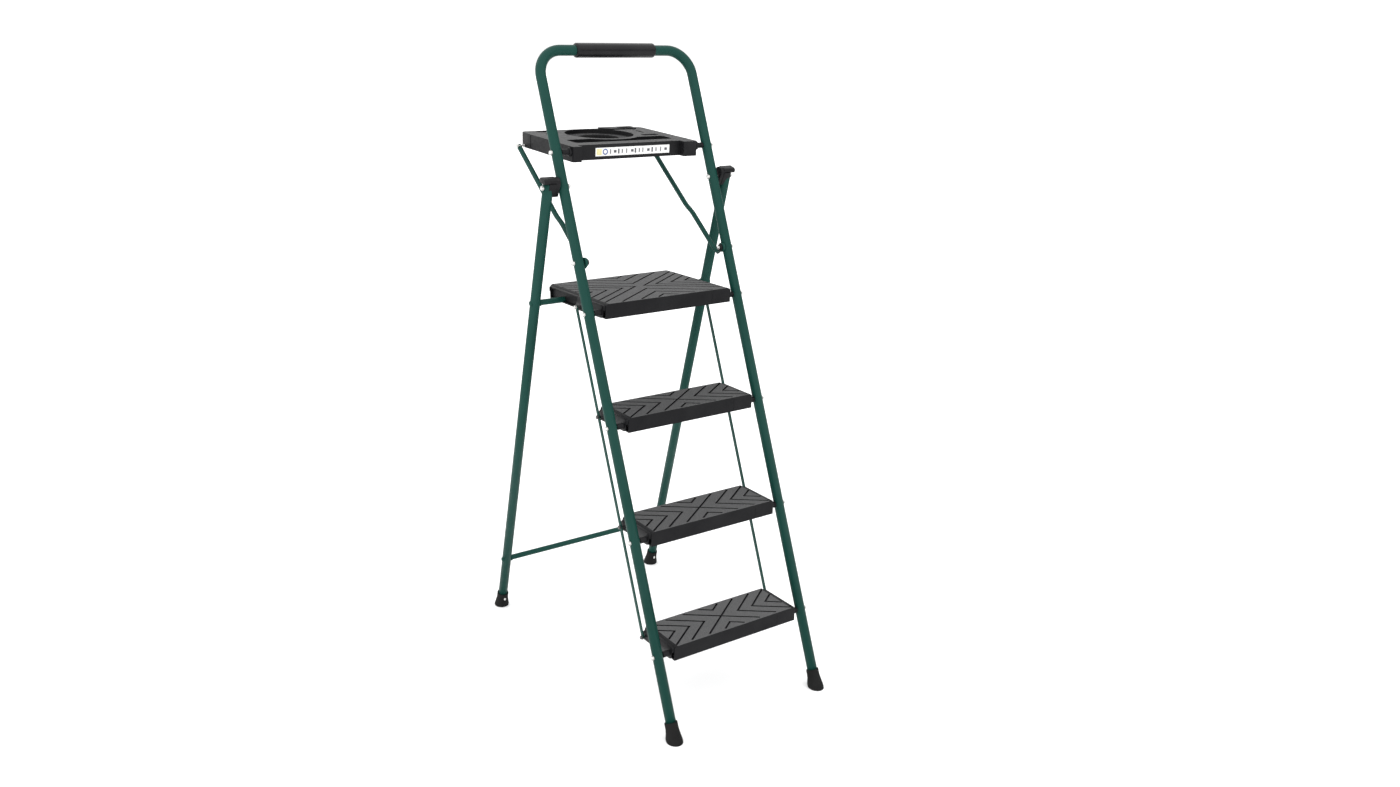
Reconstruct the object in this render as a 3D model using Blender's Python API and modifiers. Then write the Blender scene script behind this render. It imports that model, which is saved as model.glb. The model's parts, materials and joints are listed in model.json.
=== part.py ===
"""Folding four-step ladder stool with a hand grip and a tool tray.

A bent tube makes both front rails and the hand bar. A rear frame hinges on the rails near
the top, four treads fold up between the rails and are tied together by two flat link bars,
and a plastic tool tray under the hand bar folds up on two bent support rods.

Metres, +Z up, +X to the right seen from the front, +Y to the rear. The origin is on the
floor, under the middle of the standing ladder. Each moving group hangs from an empty that
stands on its hinge line.
"""

import bmesh
import bpy
from math import atan2, cos, hypot, pi, radians, sin
from mathutils import Matrix, Vector

# ---- driving dimensions ------------------------------------------------------------------

BASE_DEPTH = 0.804            # front rail axis to rear leg axis, on the floor
RAIL_SPREAD = 0.406           # between the two rail axes
LEG_BESIDE = 0.038            # rear leg axis outside the rail axis
RAIL_LEAN = radians(21.2)     # rails lean back from the vertical
HAND_BAR_HEIGHT = 1.456       # axis of the hand bar above the floor
HINGE_HEIGHT = 1.167          # rear frame hinge above the floor
TUBE = 0.024                  # rail and leg tube, outer diameter
TUBE_WALL = 0.0012
BEND = 0.060                  # bend radius of the rail tube, on its axis

STEPS = 4
STEP_RISE = 0.240
FIRST_TREAD_HEIGHT = 0.200    # top of the lowest tread
TREAD_END_GAP = 0.0205        # end of a tread to the rail
TREAD_DEPTH = 0.122
TOP_TREAD_DEPTH = 0.266
TREAD_FRONT = 0.019           # tread edge in front of its pivot
TREAD_HEIGHT = 0.034
TREAD_ABOVE_PIVOT = 0.0215
TREAD_WALL = 0.0032
TREAD_ROUND = 0.006

PAN_STEEL = 0.0015
EAR_STEEL = 0.0020
EAR_GAP = 0.018               # inner face of an ear to the rail
EAR_REACH = 0.008             # ear steel past the link rivet
COLLAR = 0.014
LINK_BACK = 0.100             # link rivet behind the step pivot
LINK_DROP = 0.006             # link rivet below the step pivot
LINK_GAP = 0.0137             # inner face of a link bar to the rail
LINK_STEEL = 0.0030
LINK_WIDTH = 0.009
RIVET = 0.004
RIVET_HEAD = 0.0072
RIVET_HEAD_HEIGHT = 0.0018

CROSSBAR = 0.014
CROSSBAR_WALL = 0.0010
LOWER_CROSSBAR_HEIGHT = 0.155
UPPER_CROSSBAR_HEIGHT = 0.893
CLIP_WIDTH = 0.060
CLIP_HALF_TOP = 0.014         # saddle under the top pan, front and back of the crossbar
CLIP_HALF_LIP = 0.010
CLIP_FRONT_LIP = 0.0015       # front lip above the crossbar's axis, so it can swing off
CLIP_BACK_LIP = 0.005         # back lip below it

HINGE_GAP = 0.0025            # rail to hinge block
HINGE_BLOCK_TOP = 0.023       # above the hinge, along the leg
HINGE_BLOCK_BOTTOM = 0.019
HINGE_BLOCK_WIDTH = 0.027
HINGE_CAP = 0.012             # cap over the leg's end
HINGE_CAP_PROUD = 0.004       # cap past the leg's outer side
HINGE_SOCKET_WALL = 0.003

BOLT = 0.006
BOLT_HEAD = 0.011
BOLT_HEAD_HEIGHT = 0.0035
NUT_HEIGHT = 0.005

GRIP = 0.033
GRIP_LENGTH = 0.210
GRIP_ROUND = 0.004

FOOT_LENGTH = 0.042
FOOT_WIDTH = 0.037
FOOT_HEIGHT = 0.044
FOOT_WALL = 0.0026
FOOT_SOLE = 0.012             # tube end above the floor, along the tube

TRAY_HEIGHT = 1.2395          # tray pivot above the floor
TRAY_SIDE_GAP = 0.023         # side of the tray to the rail
TRAY_DEPTH = 0.2635
TRAY_FRONT = 0.0136           # tray edge in front of its pivot
TRAY_ABOVE_PIVOT = 0.0126
TRAY_THICKNESS = 0.0345
TRAY_TILT = radians(3.8)      # rear edge up, at rest
TRAY_WALL = 0.0035
TRAY_DECK = 0.0045
TRAY_CORNER = 0.008
BUCKET_HOLE = 0.096
BUCKET_BACK = 0.165           # bucket hole behind the tray pivot
BUCKET_RIM = 0.150
BUCKET_RIM_DEPTH = 0.008
BIN_DEPTH = 0.014
TRAY_PIN_BACK = 0.226         # support rod pin behind the tray pivot
TRAY_PIN_DROP = 0.0170

ROD_HEIGHT = 1.006            # support rod pivot above the floor
ROD = 0.012
ROD_GAP = 0.0105              # axis of a support rod to the rail
ROD_OFFSET = 0.016            # rod axis beside its pivot, where the hook starts
ROD_EYE = 0.022
ROD_EYE_THICK = 0.0055
ROD_BEND_START = 0.022        # straight part of the rod ends this far from its pivot
CAP_NUT = 0.017
CAP_NUT_BORE = 0.0037
CAP_NUT_CROWN = 0.0022
BUSH = 0.0104                 # spacer between the tray and the rail
BUSH_FLANGE = 0.016
BUSH_FLANGE_THICK = 0.0057

FIT = 0.0003                  # gap between parts that touch
HOLE_PLAY = 0.0003            # radial play of a bolt in its hole
ROUND_SIDES = 24
BOLT_SIDES = 12
HOLE_SIDES = 8

# ---- places worked out from them ---------------------------------------------------------

TUBE_R = TUBE / 2
BOLT_HOLE = BOLT / 2 + HOLE_PLAY
RIVET_HOLE = RIVET / 2 + HOLE_PLAY
PAST = 0.005                  # how far a cutter runs past what it cuts
RAIL_X = RAIL_SPREAD / 2
LEG_X = RAIL_X + LEG_BESIDE
RAIL_IN = RAIL_X - TUBE_R     # inner and outer side of a rail
RAIL_OUT = RAIL_X + TUBE_R
LEG_OUT = LEG_X + TUBE_R
TREAD_HALF = RAIL_IN - TREAD_END_GAP
TRAY_HALF = RAIL_IN - TRAY_SIDE_GAP
EAR_X = RAIL_IN - EAR_GAP
LINK_X = RAIL_IN - LINK_GAP
ROD_X = RAIL_IN - ROD_GAP
RAIL_FOOT_Y = -BASE_DEPTH / 2
LEG_FOOT_Y = BASE_DEPTH / 2


def rail_point(height):
    """The rail axis at a height above the floor."""
    return Vector((0, RAIL_FOOT_Y + height * sin(RAIL_LEAN) / cos(RAIL_LEAN), height))


HINGE = rail_point(HINGE_HEIGHT)
LEG_LEAN = atan2(LEG_FOOT_Y - HINGE.y, HINGE_HEIGHT)
LEG_LENGTH = hypot(LEG_FOOT_Y - HINGE.y, HINGE_HEIGHT)
FIRST_PIVOT_HEIGHT = FIRST_TREAD_HEIGHT - TREAD_ABOVE_PIVOT
STEP_PIVOTS = [rail_point(FIRST_PIVOT_HEIGHT + i * STEP_RISE) for i in range(STEPS)]
LINK_OFFSET = Vector((0, LINK_BACK, -LINK_DROP))
TRAY_PIVOT = rail_point(TRAY_HEIGHT)
ROD_PIVOT = rail_point(ROD_HEIGHT)


def leg_point(height):
    """The rear leg axis at a height above the floor."""
    below = HINGE_HEIGHT - height
    return Vector((0, HINGE.y + below * sin(LEG_LEAN) / cos(LEG_LEAN), height))


def leg_distance(height):
    """How far down the leg from the hinge that height lies."""
    return (HINGE_HEIGHT - height) / cos(LEG_LEAN)


# ---- scene, collections and materials ----------------------------------------------------

for old in list(bpy.data.objects):
    bpy.data.objects.remove(old, do_unlink=True)

PARTS = bpy.data.collections.new("step_ladder")
CUTTERS = bpy.data.collections.new("cutters")
bpy.context.scene.collection.children.link(PARTS)
bpy.context.scene.collection.children.link(CUTTERS)


def material(name, colour, roughness, metallic=0.0):
    made = bpy.data.materials.new(name)
    made.use_nodes = True
    shader = made.node_tree.nodes["Principled BSDF"]
    shader.inputs["Base Color"].default_value = (*colour, 1)
    shader.inputs["Roughness"].default_value = roughness
    shader.inputs["Metallic"].default_value = metallic
    return made


GREEN_PAINT = material("green_paint", (0.025, 0.112, 0.088), 0.42)
BLACK_PLASTIC = material("black_plastic", (0.016, 0.016, 0.018), 0.48)
TREAD_PLASTIC = material("tread_plastic", (0.045, 0.045, 0.047), 0.55)
BLACK_STEEL = material("black_steel", (0.012, 0.012, 0.013), 0.40, 0.3)
RUBBER = material("rubber", (0.013, 0.013, 0.013), 0.80)
FOAM = material("grip_foam", (0.014, 0.014, 0.016), 0.70)
ZINC = material("zinc_steel", (0.62, 0.62, 0.60), 0.30, 1.0)


# ---- building blocks ---------------------------------------------------------------------

def empty(name, place, turn=0.0, parent=None):
    """A hinge line: an empty at a place, turned about X."""
    made = bpy.data.objects.new(name, None)
    made.empty_display_size = 0.03
    made.location = place
    made.rotation_euler = (turn, 0, 0)
    made.parent = parent
    PARTS.objects.link(made)
    return made


def put(name, mesh, parent, finish, cutter=False):
    """A mesh as a part, or as a cutter that is never itself a part."""
    made = bpy.data.objects.new(name, mesh)
    made.parent = parent
    (CUTTERS if cutter else PARTS).objects.link(made)
    if cutter:
        made.hide_render = True
        made.display_type = 'WIRE'
    else:
        mesh.materials.append(finish)
    return made


def finish_mesh(shape, name, sharp=30):
    """A bmesh turned into a mesh, shaded smooth up to its sharp edges."""
    mesh = bpy.data.meshes.new(name)
    bmesh.ops.recalc_face_normals(shape, faces=shape.faces)
    shape.to_mesh(mesh)
    shape.free()
    mesh.shade_smooth()
    mesh.set_sharp_from_angle(angle=radians(sharp))
    return mesh


def add_round_x(shape, radius, x_from, x_to, y=0.0, z=0.0, sides=ROUND_SIDES):
    """A round bar along X, added to a bmesh."""
    place = Matrix.Translation(((x_from + x_to) / 2, y, z)) @ Matrix.Rotation(pi / 2, 4, 'Y')
    bmesh.ops.create_cone(shape, cap_ends=True, segments=sides, radius1=radius, radius2=radius,
                          depth=abs(x_to - x_from), matrix=place)


def add_box(shape, low, high):
    """A box between two corners, added to a bmesh."""
    middle = [(a + b) / 2 for a, b in zip(low, high)]
    size = [b - a for a, b in zip(low, high)]
    place = Matrix.Translation(middle) @ Matrix.Diagonal((*size, 1))
    bmesh.ops.create_cube(shape, size=1, matrix=place)


def add_round_z(shape, radius, x, y, z_from, z_to, sides=ROUND_SIDES):
    """An upright round bar, added to a bmesh."""
    bmesh.ops.create_cone(shape, cap_ends=True, segments=sides, radius1=radius, radius2=radius,
                          depth=z_to - z_from, matrix=Matrix.Translation((x, y, (z_from + z_to) / 2)))


def boolean(piece, other, operation):
    change = piece.modifiers.new(operation.lower(), 'BOOLEAN')
    change.operation = operation
    change.solver = 'EXACT'
    change.object = other


def cut(piece, shape, label="cut"):
    """Take a bmesh, in the piece's own frame, away from a piece."""
    mesh = finish_mesh(shape, piece.name + "_" + label)
    boolean(piece, put(mesh.name, mesh, piece.parent, None, cutter=True), 'DIFFERENCE')


def join(piece, shape, label="join"):
    """Add a bmesh, in the piece's own frame, to a piece."""
    mesh = finish_mesh(shape, piece.name + "_" + label)
    boolean(piece, put(mesh.name, mesh, piece.parent, None, cutter=True), 'UNION')


def turned_x(name, profile, side, place, parent, finish, sides=BOLT_SIDES):
    """A turned piece with its axis along X: (radius, reach) from its outboard end inwards.

    The reach is the distance from the ladder's middle, and the same profile makes the left
    and the right piece. A profile that doesn't end on the axis is closed into a ring.
    """
    mesh = bpy.data.meshes.new(name)
    points = [(radius, 0, reach) for radius, reach in profile]
    edges = [(i, i + 1) for i in range(len(points) - 1)]
    if profile[0][0] > 0:
        edges.append((len(points) - 1, 0))
    mesh.from_pydata(points, edges, [])
    made = put(name, mesh, parent, finish)
    made.location = place
    made.rotation_euler = (0, side * pi / 2, 0)
    screw = made.modifiers.new("turn", 'SCREW')
    screw.axis = 'Z'
    screw.angle = 2 * pi
    screw.steps = sides
    screw.render_steps = sides
    screw.use_merge_vertices = True
    screw.merge_threshold = 0.00001
    return made


def domed_head(reach, width=BOLT_HEAD, height=BOLT_HEAD_HEIGHT):
    """The profile of a rivet-like head that seats at a reach, from its crown to its seat."""
    half = width / 2
    return [(0, reach + height), (half * 0.6, reach + height * 0.85), (half, reach + height * 0.3),
            (half, reach)]


def arc(centre, radius, start, end, count):
    """Points along a circular arc, as (across, up) pairs."""
    turns = [start + (end - start) * i / count for i in range(count + 1)]
    return [(centre[0] + radius * cos(t), centre[1] + radius * sin(t)) for t in turns]


def rounded_outline(corners, count=3):
    """A closed outline from (across, up, radius) corners, with each corner an arc."""
    outline = []
    for i, (across, up, radius) in enumerate(corners):
        here = Vector((across, up))
        back = (Vector(corners[i - 1][:2]) - here).normalized()
        ahead = (Vector(corners[(i + 1) % len(corners)][:2]) - here).normalized()
        half = back.angle(ahead) / 2
        centre = here + (back + ahead).normalized() * radius / sin(half)
        first = here + back * radius * cos(half) / sin(half) - centre
        last = here + ahead * radius * cos(half) / sin(half) - centre
        start = atan2(first.y, first.x)
        sweep = (atan2(last.y, last.x) - start + pi) % (2 * pi) - pi
        outline += arc(centre, radius, start, start + sweep, count)
    return outline


def add_plate_x(shape, outline, x_from, x_to):
    """A flat plate that faces X, added to a bmesh: an outline in Y and Z between two X."""
    ring = [shape.verts.new((x_from, y, z)) for y, z in outline]
    face = shape.faces.new(ring)
    grown = bmesh.ops.extrude_face_region(shape, geom=[face])
    moved = [item for item in grown["geom"] if isinstance(item, bmesh.types.BMVert)]
    bmesh.ops.translate(shape, vec=(x_to - x_from, 0, 0), verts=moved)


def add_plate_z(shape, outline, z_from, z_to):
    """A flat plate that faces Z, added to a bmesh: an outline in X and Y between two Z."""
    ring = [shape.verts.new((x, y, z_from)) for x, y in outline]
    face = shape.faces.new(ring)
    grown = bmesh.ops.extrude_face_region(shape, geom=[face])
    moved = [item for item in grown["geom"] if isinstance(item, bmesh.types.BMVert)]
    bmesh.ops.translate(shape, vec=(0, 0, z_to - z_from), verts=moved)


def channel(name, front, back, top, bottom, half_width, rounding, wall, parent, finish):
    """An open-ended channel along X: a folded sheet with its outer skin on the given sizes."""
    profile = [(front, bottom)]
    profile += arc((front + rounding, top - rounding), rounding, pi, pi / 2, 3)
    profile += arc((back - rounding, top - rounding), rounding, pi / 2, 0, 3)
    profile += [(back, bottom)]
    sheet = bmesh.new()
    points = [sheet.verts.new((-half_width, y, z)) for y, z in profile]
    edges = [sheet.edges.new(pair) for pair in zip(points, points[1:])]
    grown = bmesh.ops.extrude_edge_only(sheet, edges=edges)
    moved = [item for item in grown["geom"] if isinstance(item, bmesh.types.BMVert)]
    bmesh.ops.translate(sheet, vec=(2 * half_width, 0, 0), verts=moved)
    sheet.normal_update()
    top_face = max(sheet.faces, key=lambda face: face.calc_center_median().z)
    if top_face.normal.z < 0:
        bmesh.ops.reverse_faces(sheet, faces=sheet.faces)
    mesh = bpy.data.meshes.new(name)
    sheet.to_mesh(mesh)
    sheet.free()
    made = put(name, mesh, parent, finish)
    skin = made.modifiers.new("wall", 'SOLIDIFY')
    skin.thickness = wall
    skin.offset = -1
    skin.use_even_offset = True
    return made


def tube_mesh(name, points, radius, resolution, capped):
    """The skin of a tube along a path, as a mesh with its seams welded."""
    curve = bpy.data.curves.new(name, 'CURVE')
    curve.dimensions = '3D'
    curve.bevel_depth = radius
    curve.bevel_resolution = resolution
    curve.use_fill_caps = capped
    spline = curve.splines.new('POLY')
    spline.points.add(len(points) - 1)
    for point, place in zip(spline.points, points):
        point.co = (*place, 1)
    drawn = bpy.data.objects.new(name, curve)
    CUTTERS.objects.link(drawn)
    seen = drawn.evaluated_get(bpy.context.evaluated_depsgraph_get())
    mesh = bpy.data.meshes.new_from_object(seen)
    bpy.data.objects.remove(drawn)
    shape = bmesh.new()
    shape.from_mesh(mesh)
    bmesh.ops.remove_doubles(shape, verts=shape.verts, dist=0.00001)
    return finish_mesh(shape, name)


def tube(name, points, outer, wall, resolution, parent, finish):
    """A hollow tube, open at both ends."""
    made = put(name, tube_mesh(name, points, outer / 2, resolution, False), parent, finish)
    skin = made.modifiers.new("wall", 'SOLIDIFY')
    skin.thickness = wall
    skin.offset = -1
    skin.use_even_offset = True
    return made


def both_sides():
    return (("left", -1), ("right", 1))


def span(side, x_from, x_to):
    """Two distances from the middle, as X on one side, the smaller X first."""
    return sorted((side * x_from, side * x_to))


# ---- front frame: rails, hand bar, grip and front feet -----------------------------------

rail_frame = empty("rail_frame", (0, RAIL_FOOT_Y, 0), -RAIL_LEAN)


def along_rail(height):
    """Distance up the rail axis from the floor, for a height above the floor."""
    return height / cos(RAIL_LEAN)


def front_frame_tube():
    top = along_rail(HAND_BAR_HEIGHT)
    left_bend = arc((-RAIL_X + BEND, top - BEND), BEND, pi, pi / 2, 8)
    right_bend = arc((RAIL_X - BEND, top - BEND), BEND, pi / 2, 0, 8)
    path = [(-RAIL_X, FOOT_SOLE)] + left_bend + right_bend + [(RAIL_X, FOOT_SOLE)]
    made = tube("front_frame_tube", [(x, 0, z) for x, z in path], TUBE, TUBE_WALL, 6,
                rail_frame, GREEN_PAINT)
    holes = bmesh.new()
    heights = [pivot.z for pivot in STEP_PIVOTS] + [HINGE_HEIGHT, TRAY_HEIGHT, ROD_HEIGHT]
    for height in heights:
        for side in (-1, 1):
            x_low, x_high = span(side, RAIL_IN - PAST, RAIL_OUT + PAST)
            add_round_x(holes, BOLT_HOLE, x_low, x_high, z=along_rail(height), sides=HOLE_SIDES)
    cut(made, holes, "bolt_holes")


def hand_grip():
    shape = bmesh.new()
    bar = along_rail(HAND_BAR_HEIGHT)
    add_round_x(shape, GRIP / 2, -GRIP_LENGTH / 2, GRIP_LENGTH / 2, z=bar)
    made = put("hand_grip", finish_mesh(shape, "hand_grip"), rail_frame, FOAM)
    rounding = made.modifiers.new("rounding", 'BEVEL')
    rounding.width = GRIP_ROUND
    rounding.segments = 2
    rounding.limit_method = 'ANGLE'
    rounding.angle_limit = radians(60)
    bore = bmesh.new()
    add_round_x(bore, TUBE_R + FIT, -GRIP_LENGTH, GRIP_LENGTH, z=bar)
    cut(made, bore, "bore")


def foot(name, x, y, lean):
    """A rubber boot: an oval sole on the floor that narrows into a round sleeve on the tube.

    The lean is the tube's turn about X from the vertical.
    """
    sleeve = TUBE_R + FIT + FOOT_WALL
    sole = (FOOT_WIDTH / 2, FOOT_LENGTH / 2)
    # (height along the tube, share of the sole's size left, share of the lean)
    rings = [(0.000, 1.00, 0.0), (0.006, 1.00, 0.1), (0.011, 0.72, 0.4), (0.022, 0.25, 0.8),
             (0.030, 0.00, 1.0), (FOOT_HEIGHT, 0.00, 1.0)]
    shape = bmesh.new()
    loops = []
    for height, sole_share, lean_share in rings:
        middle = Vector((0, -height * sin(lean), height * cos(lean)))
        wide = sleeve + (sole[0] - sleeve) * sole_share
        long = sleeve + (sole[1] - sleeve) * sole_share
        turned = Matrix.Rotation(lean * lean_share, 3, 'X')
        ring = [(wide * cos(turn), long * sin(turn), 0)
                for turn in (2 * pi * i / ROUND_SIDES for i in range(ROUND_SIDES))]
        loops.append([shape.verts.new(middle + turned @ Vector(point)) for point in ring])
    for low, high in zip(loops, loops[1:]):
        for i in range(ROUND_SIDES):
            j = (i + 1) % ROUND_SIDES
            shape.faces.new((low[i], low[j], high[j], high[i]))
    shape.faces.new(loops[0])
    shape.faces.new(loops[-1])
    holder = empty(name + "_axis", (x, y, 0))
    made = put(name, finish_mesh(shape, name), holder, RUBBER)
    bore = bmesh.new()
    top = FOOT_HEIGHT + PAST
    bottom = FOOT_SOLE - FIT
    place = Matrix.Rotation(lean, 4, 'X') @ Matrix.Translation((0, 0, (top + bottom) / 2))
    bmesh.ops.create_cone(bore, cap_ends=True, segments=ROUND_SIDES, radius1=TUBE_R + FIT,
                          radius2=TUBE_R + FIT, depth=top - bottom, matrix=place)
    cut(made, bore, "socket")
    return holder


front_frame_tube()
hand_grip()
for side_name, side in both_sides():
    foot("front_foot_" + side_name, side * RAIL_X, RAIL_FOOT_Y, -RAIL_LEAN)


# ---- rear frame: legs, crossbars, hinge blocks and rear feet -----------------------------

rear_frame = empty("rear_frame_hinge", HINGE, LEG_LEAN)
LEG_IN = LEG_X - TUBE_R
CAP_LOW = HINGE_BLOCK_TOP - HINGE_CAP
LEG_ABOVE_HINGE = CAP_LOW - FIT


def rear_leg(side_name, side):
    x = side * LEG_X
    path = [(x, 0, -(LEG_LENGTH - FOOT_SOLE)), (x, 0, LEG_ABOVE_HINGE)]
    made = tube("rear_leg_" + side_name, path, TUBE, TUBE_WALL, 6, rear_frame, GREEN_PAINT)
    hole = bmesh.new()
    add_round_x(hole, BOLT_HOLE, x - TUBE, x + TUBE, sides=HOLE_SIDES)
    cut(made, hole, "bolt_hole")


def crossbar(name, height):
    """A bar between the legs, its ends shaped to the round legs it is welded to."""
    down = -leg_distance(height)
    reach = LEG_X - TUBE_R / 3
    path = [(-reach, 0, down), (reach, 0, down)]
    made = tube(name, path, CROSSBAR, CROSSBAR_WALL, 4, rear_frame, GREEN_PAINT)
    ends = bmesh.new()
    for side in (-1, 1):
        add_round_z(ends, TUBE_R + FIT, side * LEG_X, 0, down - 2 * CROSSBAR, down + 2 * CROSSBAR,
                    2 * ROUND_SIDES)
    cut(made, ends, "leg_seats")


def hinge_block(side_name, side):
    """A moulded block over the leg's top: an inner plate, a cap and a half socket in front."""
    half = HINGE_BLOCK_WIDTH / 2
    plate_out = LEG_IN - FIT
    shape = bmesh.new()
    plate = [(-half, -HINGE_BLOCK_BOTTOM, 0.004), (half, -HINGE_BLOCK_BOTTOM, 0.004),
             (half, HINGE_BLOCK_TOP, 0.012), (-half, HINGE_BLOCK_TOP, 0.012)]
    x_low, x_high = span(side, RAIL_OUT + HINGE_GAP, plate_out)
    add_plate_x(shape, rounded_outline(plate), x_low, x_high)
    mesh = finish_mesh(shape, "hinge_block")
    made = put("hinge_block_" + side_name, mesh, rear_frame, BLACK_PLASTIC)
    cap = bmesh.new()
    half -= 0.001
    top = HINGE_BLOCK_TOP - 0.0005
    outline = [(-half, CAP_LOW, 0.004), (half, CAP_LOW, 0.004), (half, top, 0.0055), (-half, top, 0.0055)]
    x_low, x_high = span(side, plate_out - HINGE_SOCKET_WALL, LEG_OUT + HINGE_CAP_PROUD)
    add_plate_x(cap, rounded_outline(outline), x_low, x_high)
    join(made, cap, "cap")
    socket = bmesh.new()
    x_low, x_high = span(side, plate_out - HINGE_SOCKET_WALL, LEG_X + HINGE_SOCKET_WALL)
    add_box(socket, (x_low, -TUBE_R - HINGE_SOCKET_WALL, -HINGE_BLOCK_BOTTOM + 0.002),
            (x_high, 0, CAP_LOW + 0.002))
    join(made, socket, "socket")
    bore = bmesh.new()
    add_round_z(bore, TUBE_R + FIT, side * LEG_X, 0, -HINGE_BLOCK_BOTTOM - PAST, LEG_ABOVE_HINGE + FIT,
                2 * ROUND_SIDES)
    cut(made, bore, "leg_bore")
    hole = bmesh.new()
    x_low, x_high = span(side, RAIL_OUT, LEG_OUT)
    add_round_x(hole, BOLT_HOLE, x_low, x_high, sides=HOLE_SIDES)
    cut(made, hole, "bolt_hole")


def hinge_bolt(side_name, side):
    """The main bolt: head inside the rail, then rail, block and leg, and a riveted end."""
    shank = BOLT / 2
    head = BOLT_HEAD / 2
    inner = RAIL_IN - FIT
    outer = LEG_OUT + FIT
    profile = domed_head(outer) + [(shank, outer), (shank, inner), (head, inner),
                                   (head, inner - BOLT_HEAD_HEIGHT * 0.55),
                                   (head * 0.6, inner - BOLT_HEAD_HEIGHT), (0, inner - BOLT_HEAD_HEIGHT)]
    turned_x("hinge_bolt_" + side_name, profile, side, (0, *HINGE.yz), None, ZINC)


for side_name, side in both_sides():
    rear_leg(side_name, side)
    hinge_block(side_name, side)
    hinge_bolt(side_name, side)
    boot = foot("rear_foot_" + side_name, side * LEG_X, LEG_FOOT_Y, LEG_LEAN)
    boot.parent = rear_frame
    hinge_matrix = Matrix.Translation(HINGE) @ Matrix.Rotation(LEG_LEAN, 4, 'X')
    boot.matrix_parent_inverse = hinge_matrix.inverted()
crossbar("crossbar_lower", LOWER_CROSSBAR_HEIGHT)
crossbar("crossbar_upper", UPPER_CROSSBAR_HEIGHT)


# ---- steps: tread, steel pan, bolts, rivets and link bars --------------------------------

PAN_TOP = TREAD_ABOVE_PIVOT - TREAD_WALL - FIT
EAR_OUT = EAR_X + EAR_STEEL
EAR_LOW = TREAD_HEIGHT - TREAD_ABOVE_PIVOT - 0.001
PAN_FLANGE = 0.012


def tread_depth(step):
    return TOP_TREAD_DEPTH if step == STEPS - 1 else TREAD_DEPTH


def tread(step, hinge):
    back = tread_depth(step) - TREAD_FRONT
    low = TREAD_ABOVE_PIVOT - TREAD_HEIGHT
    channel("tread_%d" % (step + 1), -TREAD_FRONT, back, TREAD_ABOVE_PIVOT, low, TREAD_HALF,
            TREAD_ROUND, TREAD_WALL, hinge, TREAD_PLASTIC)


def step_pan(step, hinge):
    """The steel pan under a tread, with an ear at each end that takes the bolt and the link rivet."""
    inset = TREAD_WALL + FIT
    front = -TREAD_FRONT + inset
    back = tread_depth(step) - TREAD_FRONT - inset
    made = channel("step_pan_%d" % (step + 1), front, back, PAN_TOP, PAN_TOP - PAN_FLANGE,
                   EAR_X + EAR_STEEL / 2, TREAD_ROUND - inset / 2, PAN_STEEL, hinge, BLACK_STEEL)
    ear_front = front + 0.003
    ear_back = LINK_BACK + EAR_REACH
    ear_top = PAN_TOP - PAN_STEEL / 2
    top_back = min(back - TREAD_ROUND, LINK_BACK)
    corners = [(ear_front, -EAR_LOW, 0.008), (ear_back, -EAR_LOW - 0.002, 0.006),
               (ear_back, 0.003, 0.005), (top_back, ear_top, 0.002), (ear_front, ear_top, 0.002)]
    ears = bmesh.new()
    for side in (-1, 1):
        x_low, x_high = span(side, EAR_X, EAR_OUT)
        add_plate_x(ears, rounded_outline(corners), x_low, x_high)
    join(made, ears, "ears")
    collars = bmesh.new()
    for side in (-1, 1):
        x_low, x_high = span(side, EAR_OUT - EAR_STEEL / 2, RAIL_IN - FIT)
        add_round_x(collars, COLLAR / 2, x_low, x_high, sides=BOLT_SIDES)
    join(made, collars, "collars")
    holes = bmesh.new()
    for side in (-1, 1):
        x_low, x_high = span(side, EAR_X - PAST, RAIL_IN + PAST)
        add_round_x(holes, BOLT_HOLE, x_low, x_high, sides=HOLE_SIDES)
        add_round_x(holes, RIVET_HOLE, x_low, x_high, LINK_BACK, -LINK_DROP, sides=HOLE_SIDES)
    cut(made, holes, "holes")


def step_bolt(step, side_name, side):
    """A shouldered rivet: a domed head outside the rail, peened inside the ear."""
    shank = BOLT / 2
    peened = BOLT_HEAD * 0.425
    outer = RAIL_OUT + FIT
    inner = EAR_X - FIT
    end = TREAD_HALF + FIT
    profile = domed_head(outer) + [(shank, outer), (shank, inner), (peened, inner), (peened, end), (0, end)]
    place = (0, *STEP_PIVOTS[step].yz)
    turned_x("step_bolt_%d_%s" % (step + 1, side_name), profile, side, place, None, ZINC)


def link_rivet(step, side_name, side, hinge):
    shank = RIVET / 2
    head = RIVET_HEAD / 2
    outer = LINK_X + LINK_STEEL + FIT
    inner = EAR_X - FIT
    end = TREAD_HALF + FIT
    profile = domed_head(outer, RIVET_HEAD, RIVET_HEAD_HEIGHT)
    profile += [(shank, outer), (shank, inner), (head, inner), (head, end), (0, end)]
    turned_x("link_rivet_%d_%s" % (step + 1, side_name), profile, side, LINK_OFFSET, hinge, ZINC)


def link_bar(side_name, side, top_rivet):
    """A flat steel bar along the rail, with round ends and a hole at each step's rivet."""
    half = LINK_WIDTH / 2
    length = along_rail((STEPS - 1) * STEP_RISE)
    outline = arc((0, 0), half, 0, pi, 8) + arc((0, -length), half, pi, 2 * pi, 8)
    x_low, x_high = span(side, LINK_X, LINK_X + LINK_STEEL)
    shape = bmesh.new()
    add_plate_x(shape, outline, x_low, x_high)
    made = put("link_bar_" + side_name, finish_mesh(shape, "link_bar"), top_rivet, GREEN_PAINT)
    holes = bmesh.new()
    for step in range(STEPS):
        down = -along_rail(step * STEP_RISE)
        add_round_x(holes, RIVET_HOLE, x_low - PAST, x_high + PAST, z=down, sides=HOLE_SIDES)
    cut(made, holes, "holes")


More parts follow.
